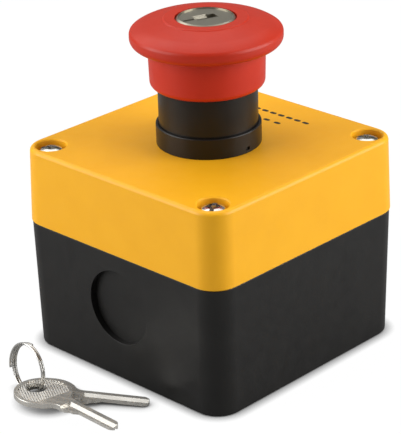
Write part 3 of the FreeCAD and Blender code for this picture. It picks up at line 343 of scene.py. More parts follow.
contact_plastic = moulded("contact_plastic", srgb(196, 196, 190), srgb(206, 205, 199),
                          roughness=0.45, grain=0.3 * MM, depth=0.01 * MM)
brass = plated("contact_brass", srgb(214, 178, 104), roughness=0.3, streak=0.25 * MM)
steel = plated("screw_steel", srgb(206, 204, 198), roughness=0.2, streak=0.2 * MM)
dress(contact_plastic, "contact_plastic", "contact_carrier", "contact_block_left", "contact_block_right",
      "contact_plunger_left", "contact_plunger_right", "push_rod", "push_foot")
dress(brass, "contact_brass", "fixed_contacts", "terminal_clamps", "contact_bridge_left",
      "contact_bridge_right")
dress(steel, "screw_steel", "carrier_screws", "terminal_screws")

# Seals: soft black rubber rings, moulded in one piece each. One lies in the base's groove under the
# cover, one under the guide's foot, and one in a groove of the guide tube against the head's skirt.
rubber = moulded("rubber", srgb(38, 37, 36), srgb(46, 45, 44), roughness=0.65, grain=0.4 * MM,
                 depth=0.015 * MM)
dress(rubber, "rubber", "cover_gasket", "panel_gasket", "wiper_seal")

# Springs under the head and in the contact blocks: steel wire wound to open coils, which shorten
# between the fixed part below and the moving part above when the button is pressed. Here they stay
# smoothed copies of their CAD shapes.


def copied(name, node):
    """A copy of a CAD node with its doubles merged and without its stored normals."""
    shape = bmesh.new()
    shape.from_mesh(nodes[node].data)
    bmesh.ops.remove_doubles(shape, verts=shape.verts, dist=0.0001 * MM)
    mesh = bpy.data.meshes.new(name)
    shape.to_mesh(mesh)
    shape.free()
    if "custom_normal" in mesh.attributes:
        mesh.attributes.remove(mesh.attributes["custom_normal"])
    return show(name, mesh)


spring_wire = plated("spring_steel", srgb(176, 176, 174), roughness=0.32, streak=0.3 * MM)
for node, moving in (("return_spring", "button"), ("contact_spring_left", "contact_left"),
                     ("contact_spring_right", "contact_right")):
    spring = copied("coiled_" + node, node)
    smooth(spring, 40)
    coat(spring, spring_wire)
    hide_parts(node)
    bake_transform(spring)

# Cover: a warm yellow lid, injection moulded, drafted and rounded along its top edge.
# A tongue on it goes into the base's groove, and its corner screws stand in counterbores.
lid_thickness = 3 * MM
top = cover_high.z
cover_half = cover_high.x
cover_draft = math.tan(math.radians(1.33))
cover_edge = 1.1 * MM
tongue_fit = 0.08 * MM
tongue_drop = split - cover_low.z
counterbore_radius = 4.1 * MM
counterbore_depth = 2.7 * MM
counterbore_fillet = 0.25 * MM
cover_post = 5.6 * MM
shank_hole = 2.25 * MM
panel_hole = 11.15 * MM


def cover_ring(inset, height):
    """Points round the cover at one height, so far in from its drafted sides."""
    side = cover_half - max(height - split, 0) * cover_draft
    return square_ring(side - inset, corner - inset, height)


shoulder = [cover_ring(cover_edge * (1 - math.cos(a)), top - cover_edge * (1 - math.sin(a)))
            for a in [math.radians(90) * step / 8 for step in range(9)]]
cover = skin("cover_shell", [
    square_ring(cover_half - wall, corner - wall, top - lid_thickness),
    cover_ring(wall, split),
    cover_ring(seal_land + seal_width - tongue_fit, split),
    cover_ring(seal_land + seal_width - tongue_fit, split - tongue_drop),
    cover_ring(seal_land + tongue_fit, split - tongue_drop),
    cover_ring(seal_land + tongue_fit, split),
    cover_ring(small_edge, split),
    cover_ring(0, split + small_edge),
] + shoulder)
combine(cover, [
    turned("post", [(0, split + small_edge), (cover_post, split + small_edge), (cover_post, top - MM),
                    (0, top - MM)], (x, y, 0)) for x, y in at_corners(screw_reach, screw_reach)], "UNION")
bore_floor = top - counterbore_depth
counterbore = softened([
    (0, split - MM, 0),
    (shank_hole, split - MM, 0),
    (shank_hole, bore_floor, 0),
    (counterbore_radius, bore_floor, counterbore_fillet),
    (counterbore_radius, top - small_edge, 0),
    (counterbore_radius + small_edge, top, 0),
    (counterbore_radius + small_edge, top + MM, 0),
    (0, top + MM, 0),
])
cuts = [turned("counterbore", counterbore, (x, y, 0)) for x, y in at_corners(screw_reach, screw_reach)]
cuts.append(turned("panel_hole", [(0, split), (panel_hole, split), (panel_hole, top + MM), (0, top + MM)]))
combine(cover, cuts)
yellow_plastic = moulded("yellow_plastic", srgb(247, 179, 28), srgb(243, 174, 24),
                         roughness=0.4, grain=0.3 * MM, depth=0.01 * MM)
finish(cover, yellow_plastic, "box", ["cover"])

# Cover screws: four plated pan-head screws with a cross recess and a slot, one in each
# counterbore, turned home to whatever angle their threads gave.
screw_low, screw_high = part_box("cover_screws")
head_radius = 3.2 * MM
head_height = 2.1 * MM
screw_shank = 1.95 * MM
screw_tip = 1 * MM
tip_length = 2 * MM
head_side = 0.75 * head_height
crown_radius = 0.5 * head_radius
recess_narrowing = 0.6
recess_depth = 1.3 * MM
recess_arm = 1.75 * MM
recess_width = 1.1 * MM
slot_length = 2.75 * MM
slot_depth = 0.75 * MM
head_seat = screw_high.z - head_height


def bar(name, half_length, half_width, low, high, narrowing=1.0):
    """A bar along X whose lower face is narrower."""
    rows = []
    for height, share in ((low, narrowing), (high, 1.0)):
        length, width = half_length * share, half_width * share
        rows.append([(length, width, height), (-length, width, height), (-length, -width, height),
                     (length, -width, height)])
    return skin(name, rows)


def grow(name, tree, values):
    """The plain mesh piece that a Geometry Nodes tree makes of its named inputs."""
    piece = show(name, bpy.data.meshes.new(name))
    modifier = piece.modifiers.new(name, "NODES")
    modifier.node_group = tree
    for socket in tree.interface.items_tree:
        if socket.name in values:
            modifier[socket.identifier] = values[socket.name]
    return apply_modifiers(piece)


def node_tree(name, inputs):
    """A Geometry Nodes tree with those named inputs and its first and last nodes."""
    tree = bpy.data.node_groups.new(name, "GeometryNodeTree")
    for label, kind in inputs:
        tree.interface.new_socket(label, in_out="INPUT", socket_type="NodeSocket" + kind)
    tree.interface.new_socket("Geometry", in_out="OUTPUT", socket_type="NodeSocketGeometry")
    return tree, tree.nodes.new("NodeGroupInput").outputs, tree.nodes.new("NodeGroupOutput").inputs


def chain(tree, kind, links=None, **settings):
    """A new node of that kind with sockets linked by name and properties set."""
    node = tree.nodes.new(kind)
    for prop, setting in settings.items():
        setattr(node, prop, setting)
    for socket, source in (links or {}).items():
        tree.links.new(source, node.inputs[socket])
    return node


def hand_out(tree, given, made, geometry):
    """End a Geometry Nodes tree: real geometry in the given material."""
    real = chain(tree, "GeometryNodeRealizeInstances", {"Geometry": geometry})
    coated = chain(tree, "GeometryNodeSetMaterial", {"Geometry": real.outputs["Geometry"],
                                                     "Material": given["Material"]})
    tree.links.new(coated.outputs["Geometry"], made["Geometry"])


screw = turned("screw", softened([
    (0, screw_low.z - head_seat, 0),
    (screw_tip, screw_low.z - head_seat, 0),
    (screw_shank, screw_low.z - head_seat + tip_length, 0),
    (screw_shank, 0, 0),
    (head_radius, 0, 0.2 * MM),
    (head_radius, head_side, 0.7 * MM),
    (crown_radius, head_height, 1.5 * MM),
    (0, head_height, 0),
]), around=48)
cross = [bar("recess", recess_arm, recess_width / 2, head_height - recess_depth, head_height + MM,
             recess_narrowing) for _ in range(2)]
cross[1].data.transform(Matrix.Rotation(math.radians(90), 4, "Z"))
slot = bar("slot", slot_length, recess_width / 2, head_height - slot_depth, head_height + MM)
combine(screw, cross + [slot])
tree, given, made = node_tree("screws_at_corners", [
    ("Screw", "Object"), ("Spacing", "Float"), ("Height", "Float"), ("Turn Seed", "Int"),
    ("Material", "Material")])
corners = chain(tree, "GeometryNodeMeshGrid", {"Size X": given["Spacing"], "Size Y": given["Spacing"]})
corners.inputs["Vertices X"].default_value = 2
corners.inputs["Vertices Y"].default_value = 2
height = chain(tree, "ShaderNodeCombineXYZ", {"Z": given["Height"]})
raised = chain(tree, "GeometryNodeTransform", {"Geometry": corners.outputs["Mesh"],
                                               "Translation": height.outputs["Vector"]})
turn = chain(tree, "FunctionNodeRandomValue", {"Seed": given["Turn Seed"]}, data_type="FLOAT_VECTOR")
turn.inputs["Min"].default_value = (0, 0, 0)
turn.inputs["Max"].default_value = (0, 0, math.pi)
source = chain(tree, "GeometryNodeObjectInfo", {"Object": given["Screw"]})
placed = chain(tree, "GeometryNodeInstanceOnPoints", {
    "Points": raised.outputs["Geometry"], "Instance": source.outputs["Geometry"],
    "Rotation": turn.outputs["Value"]})
hand_out(tree, given, made, placed.outputs["Instances"])
screws = grow("corner_screws", tree, {"Screw": screw, "Spacing": 2 * screw_reach, "Height": head_seat,
                                      "Turn Seed": 4, "Material": steel})
bpy.data.objects.remove(screw)
finish(screws, steel, "box", ["cover_screws"], sharp=40)

# Legend on the cover behind the button: two rows of plain black dashes, pad printed, with the
# upper row longer. The print lies a few hundredths of a millimetre proud.
dash_length = 2.1 * MM
dash_width = 1.1 * MM
dash_steps = 8
legend_base = top - 0.01 * MM
upper_row, upper_count, upper_pitch = 25.3 * MM, 9, 2.9 * MM
lower_row, lower_count, lower_pitch = 20.5 * MM, 4, 3.8 * MM
print_height = 0.04 * MM
rounding = [(sx * (dash_length - dash_width) / 2, a) for sx, a in ((1, -90), (-1, 90))]
dash = skin("dash", [[
    (x + dash_width / 2 * math.cos(math.radians(start + 180 * step / dash_steps)),
     dash_width / 2 * math.sin(math.radians(start + 180 * step / dash_steps)), height)
    for x, start in rounding for step in range(dash_steps + 1)] for height in (0, print_height)])
tree, given, made = node_tree("printed_legend", [
    ("Dash", "Object"), ("Upper Count", "Int"), ("Lower Count", "Int"), ("Upper Start", "Vector"),
    ("Lower Start", "Vector"), ("Upper Step", "Vector"), ("Lower Step", "Vector"),
    ("Material", "Material")])
rows = chain(tree, "GeometryNodeJoinGeometry")
for row in ("Lower", "Upper"):
    line = chain(tree, "GeometryNodeMeshLine", {
        "Count": given[row + " Count"], "Offset": given[row + " Step"],
        "Start Location": given[row + " Start"]})
    tree.links.new(line.outputs["Mesh"], rows.inputs["Geometry"])
source = chain(tree, "GeometryNodeObjectInfo", {"Object": given["Dash"]})
placed = chain(tree, "GeometryNodeInstanceOnPoints", {"Points": rows.outputs["Geometry"],
                                                      "Instance": source.outputs["Geometry"]})
hand_out(tree, given, made, placed.outputs["Instances"])
ink = moulded("printing_ink", srgb(30, 27, 24), srgb(38, 34, 30), roughness=0.5, grain=0.2 * MM,
              depth=0.004 * MM)
legend = grow("legend", tree, {
    "Dash": dash, "Upper Count": upper_count, "Lower Count": lower_count,
    "Upper Start": (-upper_pitch * (upper_count - 1) / 2, upper_row, legend_base),
    "Lower Start": (-lower_pitch * (lower_count - 1) / 2, lower_row, legend_base),
    "Upper Step": (upper_pitch, 0, 0), "Lower Step": (lower_pitch, 0, 0), "Material": ink})
bpy.data.objects.remove(dash)
finish(legend, ink, "box")

# Guide of the button: a brownish black moulded tube that stands on the cover, with a nut and a
# steel washer on the barrel inside. The head's skirt slides over it.
guide_plastic = moulded("guide_plastic", srgb(15, 12, 9), srgb(20, 16, 12),
                        roughness=0.36, grain=0.4 * MM, depth=0.004 * MM)
tube_radius = 13.13 * MM
tube_bore = 10.6 * MM
tube_foot = 57.8 * MM
tube_floor = 63 * MM
tube_top = 80 * MM
barrel_radius = 11 * MM
barrel_bore = 8.6 * MM
barrel_floor = 50 * MM
barrel_end = 44.3 * MM
rod_hole = 4.3 * MM
wiper_groove = 12.33 * MM
wiper_low, wiper_high = 75.6 * MM, 77.1 * MM
latch_groove = 11.7 * MM
latch_low, latch_high = 66.15 * MM, 68.75 * MM
guide = turned("guide_tube", softened([
    (rod_hole, barrel_end, 0),
    (barrel_radius, barrel_end, 0.5 * MM),
    (barrel_radius, tube_foot, 0),
    (tube_radius, tube_foot, 0),
    (tube_radius, wiper_low, 0.1 * MM),
    (wiper_groove, wiper_low, 0),
    (wiper_groove, wiper_high, 0),
    (tube_radius, wiper_high, 0.1 * MM),
    (tube_radius, tube_top, 0.3 * MM),
    (tube_bore, tube_top, 0.2 * MM),
    (tube_bore, latch_high, 0),
    (latch_groove, latch_high, 0),
    (latch_groove, latch_low, 0),
    (tube_bore, latch_low, 0),
    (tube_bore, tube_floor, 0),
    (barrel_bore, tube_floor, 0),
    (barrel_bore, barrel_floor, 0),
    (rod_hole, barrel_floor, 0),
]), ring=True, around=128)
finish(guide, guide_plastic, "box", ["actuator_body"])
dress(guide_plastic, "guide_plastic", "fixing_nut")
dress(steel, "screw_steel", "lock_washer")

# Bezel ring: a black moulded ring round the guide's foot, with a small square notch on each side
# where a tool holds it while the nut is tightened.
bezel_low, bezel_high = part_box("bezel_ring")
bezel_wall = 0.79 * MM
notch_width = 1.4 * MM
notch_height = 0.9 * MM
notch_lift = 0.8 * MM
notch_depth = 0.5 * MM
bezel = turned("bezel", softened([
    (bezel_high.x - bezel_wall, bezel_low.z, 0),
    (bezel_high.x, bezel_low.z, 0.15 * MM),
    (bezel_high.x, bezel_high.z, 0.3 * MM),
    (bezel_high.x - bezel_wall, bezel_high.z, 0.15 * MM),
]), ring=True, around=128)
notches = bar("notch", bezel_high.x + MM, notch_width / 2, bezel_low.z + notch_lift,
              bezel_low.z + notch_lift + notch_height)
core = turned("core", [(0, bezel_low.z), (bezel_high.x - notch_depth, bezel_low.z),
                       (bezel_high.x - notch_depth, bezel_high.z), (0, bezel_high.z)])
combine(bezel, [combine(notches, [core])])
finish(bezel, guide_plastic, "box", ["bezel_ring"])

# Mushroom head: bright red, injection moulded, with a low dome, a rolled rim and a skirt.
# The lock stands in a flat at its middle, and the latch bolts in a channel across its hub.
red_plastic = moulded("red_plastic", srgb(192, 44, 16), srgb(186, 40, 14),
                      roughness=0.42, grain=0.4 * MM, depth=0.003 * MM)
hub_radius = 10.3 * MM
hub_end = 70 * MM
skirt_bore = 13.43 * MM
skirt_ceiling = 86.5 * MM
skirt_end = 73 * MM
skirt_radius, skirt_top_radius = 15.1 * MM, 15.4 * MM
rim_radius = 20 * MM
rim_low, rim_high = 84.1 * MM, 87.8 * MM
dome_radius, dome_height = 17.6 * MM, 89.4 * MM
flat_foot_radius, flat_foot = 11.25 * MM, 90.85 * MM
flat_radius, flat_height = 10.9 * MM, 91.2 * MM
lock_recess, lock_seat = 8.05 * MM, 90 * MM
lock_hole, lock_stop = 7.8 * MM, 76.6 * MM
cam_room, cam_floor = 6.6 * MM, 72.3 * MM
channel_reach, channel_half, channel_top = 10.6 * MM, 5.15 * MM, 74.6 * MM
head = turned("head", softened([
    (0, hub_end, 0),
    (hub_radius, hub_end, 0.3 * MM),
    (hub_radius, skirt_ceiling, 0),
    (skirt_bore, skirt_ceiling, 0),
    (skirt_bore, skirt_end, 0),
    (skirt_radius, skirt_end, 1.5 * MM),
    (skirt_top_radius, rim_low, 0.2 * MM),
    (rim_radius, rim_low, 2.1 * MM),
    (rim_radius, rim_high, 1.3 * MM),
    (dome_radius, dome_height, 10 * MM),
    (flat_foot_radius, flat_foot, 0.4 * MM),
    (flat_radius, flat_height, 0.4 * MM),
    (lock_recess, flat_height, 0.12 * MM),
    (lock_recess, lock_seat, 0),
    (lock_hole, lock_seat, 0),
    (lock_hole, lock_stop, 0),
    (cam_room, lock_stop, 0),
    (cam_room, cam_floor, 0),
    (0, cam_floor, 0),
], 10), around=160)
combine(head, [bar("channel", channel_reach, channel_half, cam_floor, channel_top)])
finish(head, red_plastic, "button", ["mushroom_head"])

# Key lock: a nickel-plated die-cast barrel pressed into the head, and the turned plug in it, with a
# bevelled keyway. A block of wafers sits in the keyway, coloured almost black as painted shade of
# the keyway. The plug's cam draws two steel bolts in.


def faced(name, colour, roughness, pitch):
    """Turned metal: fine rings about the lock's axis."""
    ring_depth, uneven = 0.01 * MM, 0.06
    material, tree, shade = shader(name)
    shade.inputs["Metallic"].default_value = 1.0
    shade.inputs["Base Color"].default_value = colour
    where = tree.nodes.new("ShaderNodeTexCoord")
    flat = tree.nodes.new("ShaderNodeVectorMath")
    flat.operation = "MULTIPLY"
    flat.inputs[1].default_value = (1 / pitch, 1 / pitch, 0)
    radius = tree.nodes.new("ShaderNodeVectorMath")
    radius.operation = "LENGTH"
    lines = tree.nodes.new("ShaderNodeTexNoise")
    lines.noise_dimensions = "1D"
    lines.inputs["Scale"].default_value = 1.0
    lines.inputs["Detail"].default_value = 2.0
    tree.links.new(where.outputs["Object"], flat.inputs[0])
    tree.links.new(flat.outputs["Vector"], radius.inputs[0])
    tree.links.new(radius.outputs["Value"], lines.inputs["W"])
    spread(tree, lines.outputs[0], shade.inputs["Roughness"], roughness - uneven, roughness + uneven)
    relief(tree, lines.outputs[0], shade, ring_depth)
    return material


lock_metal = faced("lock_metal", srgb(172, 167, 151), roughness=0.34, pitch=0.25 * MM)
plug_face = 91.05 * MM
keyway_turn = math.radians(-18.7)
pocket_length, pocket_width = 2 * MM, 5.7 * MM
pocket_middle = -0.59 * MM
pocket_depth = 4 * MM
wafer_fit = 0.02 * MM
wafer_low, wafer_high = plug_face - 3.9 * MM, plug_face - MM
bevel_start, bevel_end = -2.8 * MM, 1.2 * MM
bevel_section = [(-2.64 * MM, 0.5 * MM), (-1.25 * MM, 0.5 * MM), (-1.53 * MM, -0.92 * MM)]
bevel = skin("keyway_bevel", [[(x, y, plug_face + up) for x, up in bevel_section]
                              for y in (bevel_start, bevel_end)])
pocket = bar("keyway_pocket", pocket_length / 2, pocket_width / 2, plug_face - pocket_depth, plug_face + MM)
wafers = bar("lock_wafers", pocket_length / 2 - wafer_fit, pocket_width / 2 - wafer_fit, wafer_low,
             wafer_high)
for piece in (pocket, wafers):
    piece.data.transform(Matrix.Translation((pocket_middle, 0, 0)))
for piece in (bevel, pocket, wafers):
    piece.data.transform(Matrix.Rotation(keyway_turn, 4, "Z"))
plug = combine(copied("lock_core", "lock_plug"), [bevel, pocket])
# Almost black colour of the wafer block: painted shade inside the keyway, on real wafers.
wafer_metal_painted_shade = plated("wafer_metal_painted_shade", srgb(34, 32, 28), roughness=0.5, streak=0.3 * MM)
finish(wafers, wafer_metal_painted_shade, "lock")
finish(plug, lock_metal, "lock", ["lock_plug"])
dress(lock_metal, "lock_metal", "lock_barrel", "lock_cam")
dress(steel, "screw_steel", "latch_bolt_left", "latch_bolt_right")

# Keys: two alike, stamped from nickel-plated brass, with a round bow and a milled blade. A raised
# rim runs round the bow's field on both faces. They lie on each other beside the box.
key_thickness = 1.4 * MM
key_edge = 0.1 * MM
hole_radius = 2.5 * MM
bow_middle = 2.86 * MM
bow_radius = 7.65 * MM
neck_radius = 3 * MM
blade_half = 2.55 * MM
bow_rim = 1.1 * MM
field_depth = 0.34 * MM
field_end = 7.1 * MM
field_turn = math.radians(-5)
ward_start, ward_low, ward_step = 12.4 * MM, 0.75 * MM, 0.15 * MM
groove_start, groove_depth = 10.6 * MM, 0.4 * MM
past_tip = 31 * MM
upper_hole = Vector((-7.66, -58.717, 3.0925)) * MM
lower_hole = Vector((-8.76, -57.56, 1.3853)) * MM
key_turn = math.radians(-1.5)
key_roll = math.radians(-4.2)
key_spread = math.radians(34.8)


def arc(centre, radius, start, end, steps):
    """Points along an arc between two angles in degrees."""
    angles = [math.radians(start + (end - start) * step / steps) for step in range(steps + 1)]
    return [Vector((centre[0] + radius * math.cos(a), centre[1] + radius * math.sin(a))) for a in angles]


def prism(name, outline, low, high, edge=0.0):
    """A flat piece with that outline and a small bevel round its faces."""
    count = len(outline)
    inner = []
    for i, point in enumerate(outline):
        along = (outline[(i + 1) % count] - outline[i - 1]).normalized()
        inner.append(point + Vector((-along.y, along.x)) * edge)
    rows = [(inner, low), (outline, low + edge), (outline, high - edge), (inner, high)]
    rows = rows if edge else [(outline, low), (outline, high)]
    return skin(name, [[(point.x, point.y, height) for point in row] for row, height in rows])


def rail(name, section, start, end):
    """A straight bar along X from a section of (across, up) points."""
    return skin(name, [[(x, across, up) for across, up in section] for x in (start, end)])


neck_reach = math.sqrt((bow_radius + neck_radius) ** 2 - (blade_half + neck_radius) ** 2)
neck_angle = math.degrees(math.atan2(blade_half + neck_radius, neck_reach))
neck_x = bow_middle + neck_reach
blade = [(13.8, -2.55), (15, -1.55), (15.9, -1.55), (17.1, -0.55), (28, -0.55), (28.7, -0.3), (29.4, 0.3),
         (29.5, 0.7), (29.5, 1.4), (29.3, 1.8), (28.6, 2.35), (28, 2.55)]
key_outline = arc((bow_middle, 0), bow_radius, neck_angle, 360 - neck_angle, 96)
key_outline += arc((neck_x, -blade_half - neck_radius), neck_radius, 180 - neck_angle, 90, 8)[1:]
key_outline += [Vector(point) * MM for point in blade]
key_outline += arc((neck_x, blade_half + neck_radius), neck_radius, 270, 180 + neck_angle, 8)[:-1]
field = arc((bow_middle, 0), bow_radius - bow_rim, 0, 357, 119)
across = Vector((math.cos(field_turn), math.sin(field_turn)))
field = [point - across * max(point.dot(across) - field_end, 0) for point in field]
top_face = key_thickness
key = prism("key", key_outline, 0, top_face, key_edge)
hole = softened([(0, -MM, 0), (hole_radius + key_edge, -MM, 0), (hole_radius + key_edge, 0, 0),
                 (hole_radius, key_edge, 0), (hole_radius, top_face - key_edge, 0),
                 (hole_radius + key_edge, top_face, 0), (hole_radius + key_edge, top_face + MM, 0),
                 (0, top_face + MM, 0)])
ward = [(1.1 * MM, top_face), (1.1 * MM, 2 * MM), (-3 * MM, 2 * MM), (-3 * MM, ward_low + ward_step),
        (-0.3 * MM, ward_low + ward_step), (-0.2 * MM, ward_low), (0.2 * MM, ward_low)]
under_groove = [(0.6 * MM, -0.1 * MM), (0.7 * MM, groove_depth), (1.3 * MM, groove_depth),
                (1.4 * MM, -0.1 * MM)]
combine(key, [
    turned("hole", hole),
    prism("upper_field", field, top_face - field_depth, top_face + MM),
    prism("lower_field", field, -MM, field_depth),
    rail("ward", ward, ward_start, past_tip),
    rail("under_groove", under_groove, groove_start, past_tip),
])

# Serration of the bows: fine parallel ridges which slant across the key, pressed into the field on both
# faces.
# They get a lighter, milkier copy of the key's plated brass: painted highlight for the light they catch.
ridge_pitch = 0.67 * MM
ridge_count = 24
ridge_turn = math.radians(-28)
ridge_foot, ridge_crest, ridge_height = 0.2 * MM, 0.13 * MM, 0.26 * MM
ridge_reach = 8 * MM
ridge_sink = 0.02 * MM
hole_margin = 0.4 * MM
ridge_base = top_face - field_depth - ridge_sink
ridge = rail("ridge", [(-ridge_foot, 0), (ridge_foot, 0), (ridge_crest, ridge_height),
                       (-ridge_crest, ridge_height)], -ridge_reach, ridge_reach)
tree, given, made = node_tree("serration", [
    ("Ridge", "Object"), ("Count", "Int"), ("First Place", "Vector"), ("Step", "Vector"),
    ("Turn", "Vector"), ("Middle", "Vector"), ("Material", "Material")])
places = chain(tree, "GeometryNodeMeshLine", {
    "Count": given["Count"], "Start Location": given["First Place"], "Offset": given["Step"]})
source = chain(tree, "GeometryNodeObjectInfo", {"Object": given["Ridge"]})
placed = chain(tree, "GeometryNodeInstanceOnPoints", {"Points": places.outputs["Mesh"],
                                                      "Instance": source.outputs["Geometry"]})
laid = chain(tree, "GeometryNodeTransform", {"Geometry": placed.outputs["Instances"],
                                             "Translation": given["Middle"], "Rotation": given["Turn"]})
hand_out(tree, given, made, laid.outputs["Geometry"])
streak_turn = math.radians(22)
key_streak = 1.2 * MM
key_metal = plated("key_nickel", srgb(216, 213, 206), roughness=0.28, streak=key_streak,
                   turn=streak_turn, sheen=0.76)
# Lighter, milkier copy of the key's metal for the ridges: painted highlight.
ridge_metal_painted_highlight = plated("ridge_nickel_painted_highlight", srgb(244, 242, 237), roughness=0.3, streak=key_streak,
                     turn=streak_turn, sheen=0.45)
serration = grow("serration", tree, {
    "Ridge": ridge, "Count": ridge_count, "First Place": (0, -ridge_pitch * (ridge_count - 1) / 2, 0),
    "Step": (0, ridge_pitch, 0), "Turn": (0, 0, ridge_turn), "Middle": (bow_middle, 0, ridge_base),
    "Material": ridge_metal_painted_highlight})
bpy.data.objects.remove(ridge)
combine(serration, [prism("inside", field, ridge_base - MM, top_face + MM)], "INTERSECT")
combine(serration, [turned("hole", [(0, -MM), (hole_radius + hole_margin, -MM),
                                    (hole_radius + hole_margin, 2 * MM), (0, 2 * MM)])])
both = bmesh.new()
both.from_mesh(serration.data)
below = bmesh.ops.duplicate(both, geom=both.verts[:] + both.edges[:] + both.faces[:])["geom"]
below_verts = [item for item in below if isinstance(item, bmesh.types.BMVert)]
bmesh.ops.transform(both, matrix=Matrix.Translation((0, 0, top_face)) @ Matrix.Scale(-1, 4, (0, 0, 1)),
                    verts=below_verts)
bmesh.ops.recalc_face_normals(both, faces=both.faces)
both.to_mesh(serration.data)
both.free()
rolled = Matrix.Rotation(key_turn, 4, "Z") @ Matrix.Rotation(key_roll, 4, "X")
for body, hole_place, turn in (("key_upper", upper_hole, 0), ("key_lower", lower_hole, key_spread)):
    lay = Matrix.Translation(hole_place) @ rolled @ Matrix.Rotation(turn, 4, "Z")
    for name, source, metal, replaced in (("flat_" + body, key, key_metal, [body]),
                                          ("ridges_" + body, serration, ridge_metal_painted_highlight, [])):
        piece = show(name, source.data.copy())
        piece.data.transform(lay)
        finish(piece, metal, body, replaced)
bpy.data.objects.remove(key)
bpy.data.objects.remove(serration)

# Split ring: spring steel wire coiled a little over twice and plated, leaning in the keys' holes
# with its free end a little out of the coil.
ring_middle = Vector((-13, -56.4, 7.0106)) * MM
ring_lean = math.radians(-97.2)
ring_yaw = math.radians(-6.3)
ring_end = math.radians(164)
ring_turns = 2.3
ring_rise = 1.58 * MM
first_radius, last_radius = 6.85 * MM, 6.55 * MM
wire_depth, wire_breadth, wire_edge = 0.58 * MM, 0.66 * MM, 0.2 * MM
end_splay, splay_share = -0.08 * MM, 0.22
tree, given, made = node_tree("split_ring", [
    ("Turns", "Float"), ("First Radius", "Float"), ("Last Radius", "Float"), ("Rise", "Float"),
    ("Depth", "Float"), ("Breadth", "Float"), ("Splay", "Float"), ("Material", "Material")])
path = chain(tree, "GeometryNodeCurveSpiral", {
    "Rotations": given["Turns"], "Start Radius": given["First Radius"], "End Radius": given["Last Radius"],
    "Height": given["Rise"]})
path.inputs["Resolution"].default_value = 120
path.inputs["Reverse"].default_value = True
along = chain(tree, "GeometryNodeSplineParameter")
bent = chain(tree, "ShaderNodeMapRange", {"Value": along.outputs["Factor"], "To Max": given["Splay"]},
             interpolation_type="SMOOTHSTEP")
bent.inputs["From Min"].default_value = splay_share
bent.inputs["From Max"].default_value = 0.0
outwards = chain(tree, "ShaderNodeCombineXYZ", {"Z": bent.outputs["Result"]})
path = chain(tree, "GeometryNodeSetPosition", {"Geometry": path.outputs["Curve"],
                                               "Offset": outwards.outputs["Vector"]})
wire = chain(tree, "GeometryNodeCurvePrimitiveQuadrilateral", {"Width": given["Depth"],
                                                               "Height": given["Breadth"]})
eased = chain(tree, "GeometryNodeFilletCurve", {"Curve": wire.outputs["Curve"]})
eased.inputs["Radius"].default_value = wire_edge
swept = chain(tree, "GeometryNodeCurveToMesh", {"Curve": path.outputs["Geometry"],
                                                "Profile Curve": eased.outputs["Curve"]})
swept.inputs["Fill Caps"].default_value = True
hand_out(tree, given, made, swept.outputs["Mesh"])
ring_metal = plated("ring_nickel", srgb(206, 204, 199), roughness=0.18, streak=1.2 * MM, sheen=0.9)
ring = grow("wire_ring", tree, {
    "Turns": ring_turns, "First Radius": first_radius, "Last Radius": last_radius, "Rise": ring_rise,
    "Depth": wire_depth, "Breadth": wire_breadth, "Splay": end_splay, "Material": ring_metal})
ring.data.transform(
    Matrix.Translation(ring_middle) @ Matrix.Rotation(ring_yaw, 4, "Z") @ Matrix.Rotation(ring_lean, 4, "X")
    @ Matrix.Rotation(ring_end, 4, "Z") @ Matrix.Translation((0, 0, -ring_rise / 2)))
finish(ring, ring_metal, "key_ring", ["key_ring"], sharp=50)

# Floor and light of a small photo studio: a white sweep whose glow is dimmed close to the object as a
# painted contact shadow, a soft light from each side, one from above and a small one high on the left, with
# nothing but white behind.
floor_half = 2.0
floor_low, floor_high = -0.3 * MM, -0.1 * MM
paper_grey = 0.35
glow_share, glow_strength = 0.94, 1.05
painted_shadow_reach, painted_shadow_power = 3 * MM, 2.0
studio_floor = bar("studio_floor", floor_half, floor_half, floor_low, floor_high)
paper, tree, shade = shader("white_paper")
shade.inputs["Base Color"].default_value = (paper_grey, paper_grey, paper_grey, 1)
shade.inputs["Roughness"].default_value = 0.9
shade.inputs["Specular IOR Level"].default_value = 0.1
path = tree.nodes.new("ShaderNodeLightPath")
glow = tree.nodes.new("ShaderNodeEmission")
mix = tree.nodes.new("ShaderNodeMixShader")
share = tree.nodes.new("ShaderNodeMath")
share.operation = "MULTIPLY"
share.inputs[1].default_value = glow_share
# The floor's glow is dimmed by ambient occlusion close to the object and under the keys: a painted contact
# shadow.
painted_contact_shadow = tree.nodes.new("ShaderNodeAmbientOcclusion")
painted_contact_shadow.inputs["Distance"].default_value = painted_shadow_reach
lit = tree.nodes.new("ShaderNodeMath")
lit.operation = "MULTIPLY"
deeper = tree.nodes.new("ShaderNodeMath")
deeper.operation = "POWER"
deeper.inputs[1].default_value = painted_shadow_power
glow.inputs["Strength"].default_value = glow_strength
tree.links.new(path.outputs["Is Camera Ray"], share.inputs[0])
tree.links.new(share.outputs["Value"], lit.inputs[0])
tree.links.new(painted_contact_shadow.outputs["AO"], deeper.inputs[0])
tree.links.new(deeper.outputs["Value"], lit.inputs[1])
tree.links.new(lit.outputs["Value"], mix.inputs["Fac"])
tree.links.new(shade.outputs["BSDF"], mix.inputs[1])
tree.links.new(glow.outputs["Emission"], mix.inputs[2])
tree.links.new(mix.outputs["Shader"], tree.nodes["Material Output"].inputs["Surface"])
studio_floor.data.materials.append(paper)

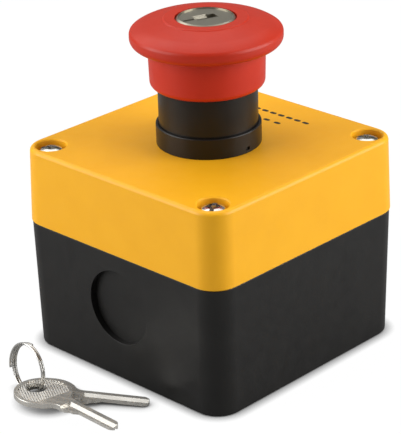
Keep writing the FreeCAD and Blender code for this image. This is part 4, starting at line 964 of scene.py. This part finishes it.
fill_on_dull, fill_on_shiny, backdrop = 0.1, 0.25, 1.0
world = bpy.data.worlds.new("studio")
bpy.context.scene.world = world
world.use_nodes = True
tree = world.node_tree
path = tree.nodes.new("ShaderNodeLightPath")
shiny = tree.nodes.new("ShaderNodeMapRange")
shiny.inputs["To Min"].default_value = fill_on_dull
shiny.inputs["To Max"].default_value = fill_on_shiny
strength = tree.nodes.new("ShaderNodeMix")
strength.inputs[3].default_value = backdrop
tree.nodes["Background"].inputs["Color"].default_value = (1, 1, 1, 1)
tree.links.new(path.outputs["Is Glossy Ray"], shiny.inputs["Value"])
tree.links.new(path.outputs["Is Camera Ray"], strength.inputs[0])
tree.links.new(shiny.outputs["Result"], strength.inputs[2])
tree.links.new(strength.outputs[0], tree.nodes["Background"].inputs["Strength"])

view_azimuth = math.radians(44.235)
view_elevation = math.radians(24.109)
aim = Vector((0, 0, 36.54 * MM))
light_distance = 0.8


def direction(azimuth, elevation):
    """Unit vector towards a place round the object; azimuth 0 is the side of the front cable entry."""
    return Vector((math.sin(azimuth) * math.cos(elevation), -math.cos(azimuth) * math.cos(elevation),
                   math.sin(elevation)))


def soft_light(name, off_view, elevation, size, power):
    """A square soft light that points at the object, so many degrees round from the camera."""
    lamp = bpy.data.lights.new(name, "AREA")
    lamp.shape = "SQUARE"
    lamp.size = size
    lamp.energy = power
    light = show(name, lamp)
    towards = direction(view_azimuth + math.radians(off_view), math.radians(elevation))
    light.location = aim + towards * light_distance
    light.rotation_euler = towards.to_track_quat("Z", "Y").to_euler()


soft_light("light_left", off_view=-78, elevation=20, size=0.7, power=6.8)
soft_light("light_right", off_view=78, elevation=20, size=0.7, power=8.2)
soft_light("light_above", off_view=180, elevation=72, size=0.8, power=3.2)
soft_light("light_high_left", off_view=-128, elevation=42, size=0.5, power=1.2)

# Camera at the photograph's place: from the front right corner, a little above, with a long lens.
# Its roll and the shift of its centre were fitted to the object's edges there.
view_roll = math.radians(-1.585)
view_distance = 541.45 * MM
lens, sensor_width = 167.6, 36
focal_pixels = 2020.4
centre_right = 10.59 / focal_pixels
centre_down = 6.41 / focal_pixels
backwards = direction(view_azimuth, view_elevation)
level = Vector((math.cos(view_azimuth), math.sin(view_azimuth), 0))
upwards = backwards.cross(level)
right = level * math.cos(view_roll) + upwards * math.sin(view_roll)
up = upwards * math.cos(view_roll) - level * math.sin(view_roll)
place = aim + backwards * view_distance
middle = aim - right * centre_right * view_distance - up * centre_down * view_distance
away = (place - middle).normalized()
side = (right - away * right.dot(away)).normalized()
camera = show("camera", bpy.data.cameras.new("camera"))
camera.data.lens = lens
camera.data.sensor_width = sensor_width
camera.matrix_world = Matrix(((*side, 0), (*away.cross(side), 0), (*away, 0), (0, 0, 0, 1))).transposed()
camera.location = place
bpy.context.scene.camera = camera
bpy.context.scene.view_settings.view_transform = "Standard"
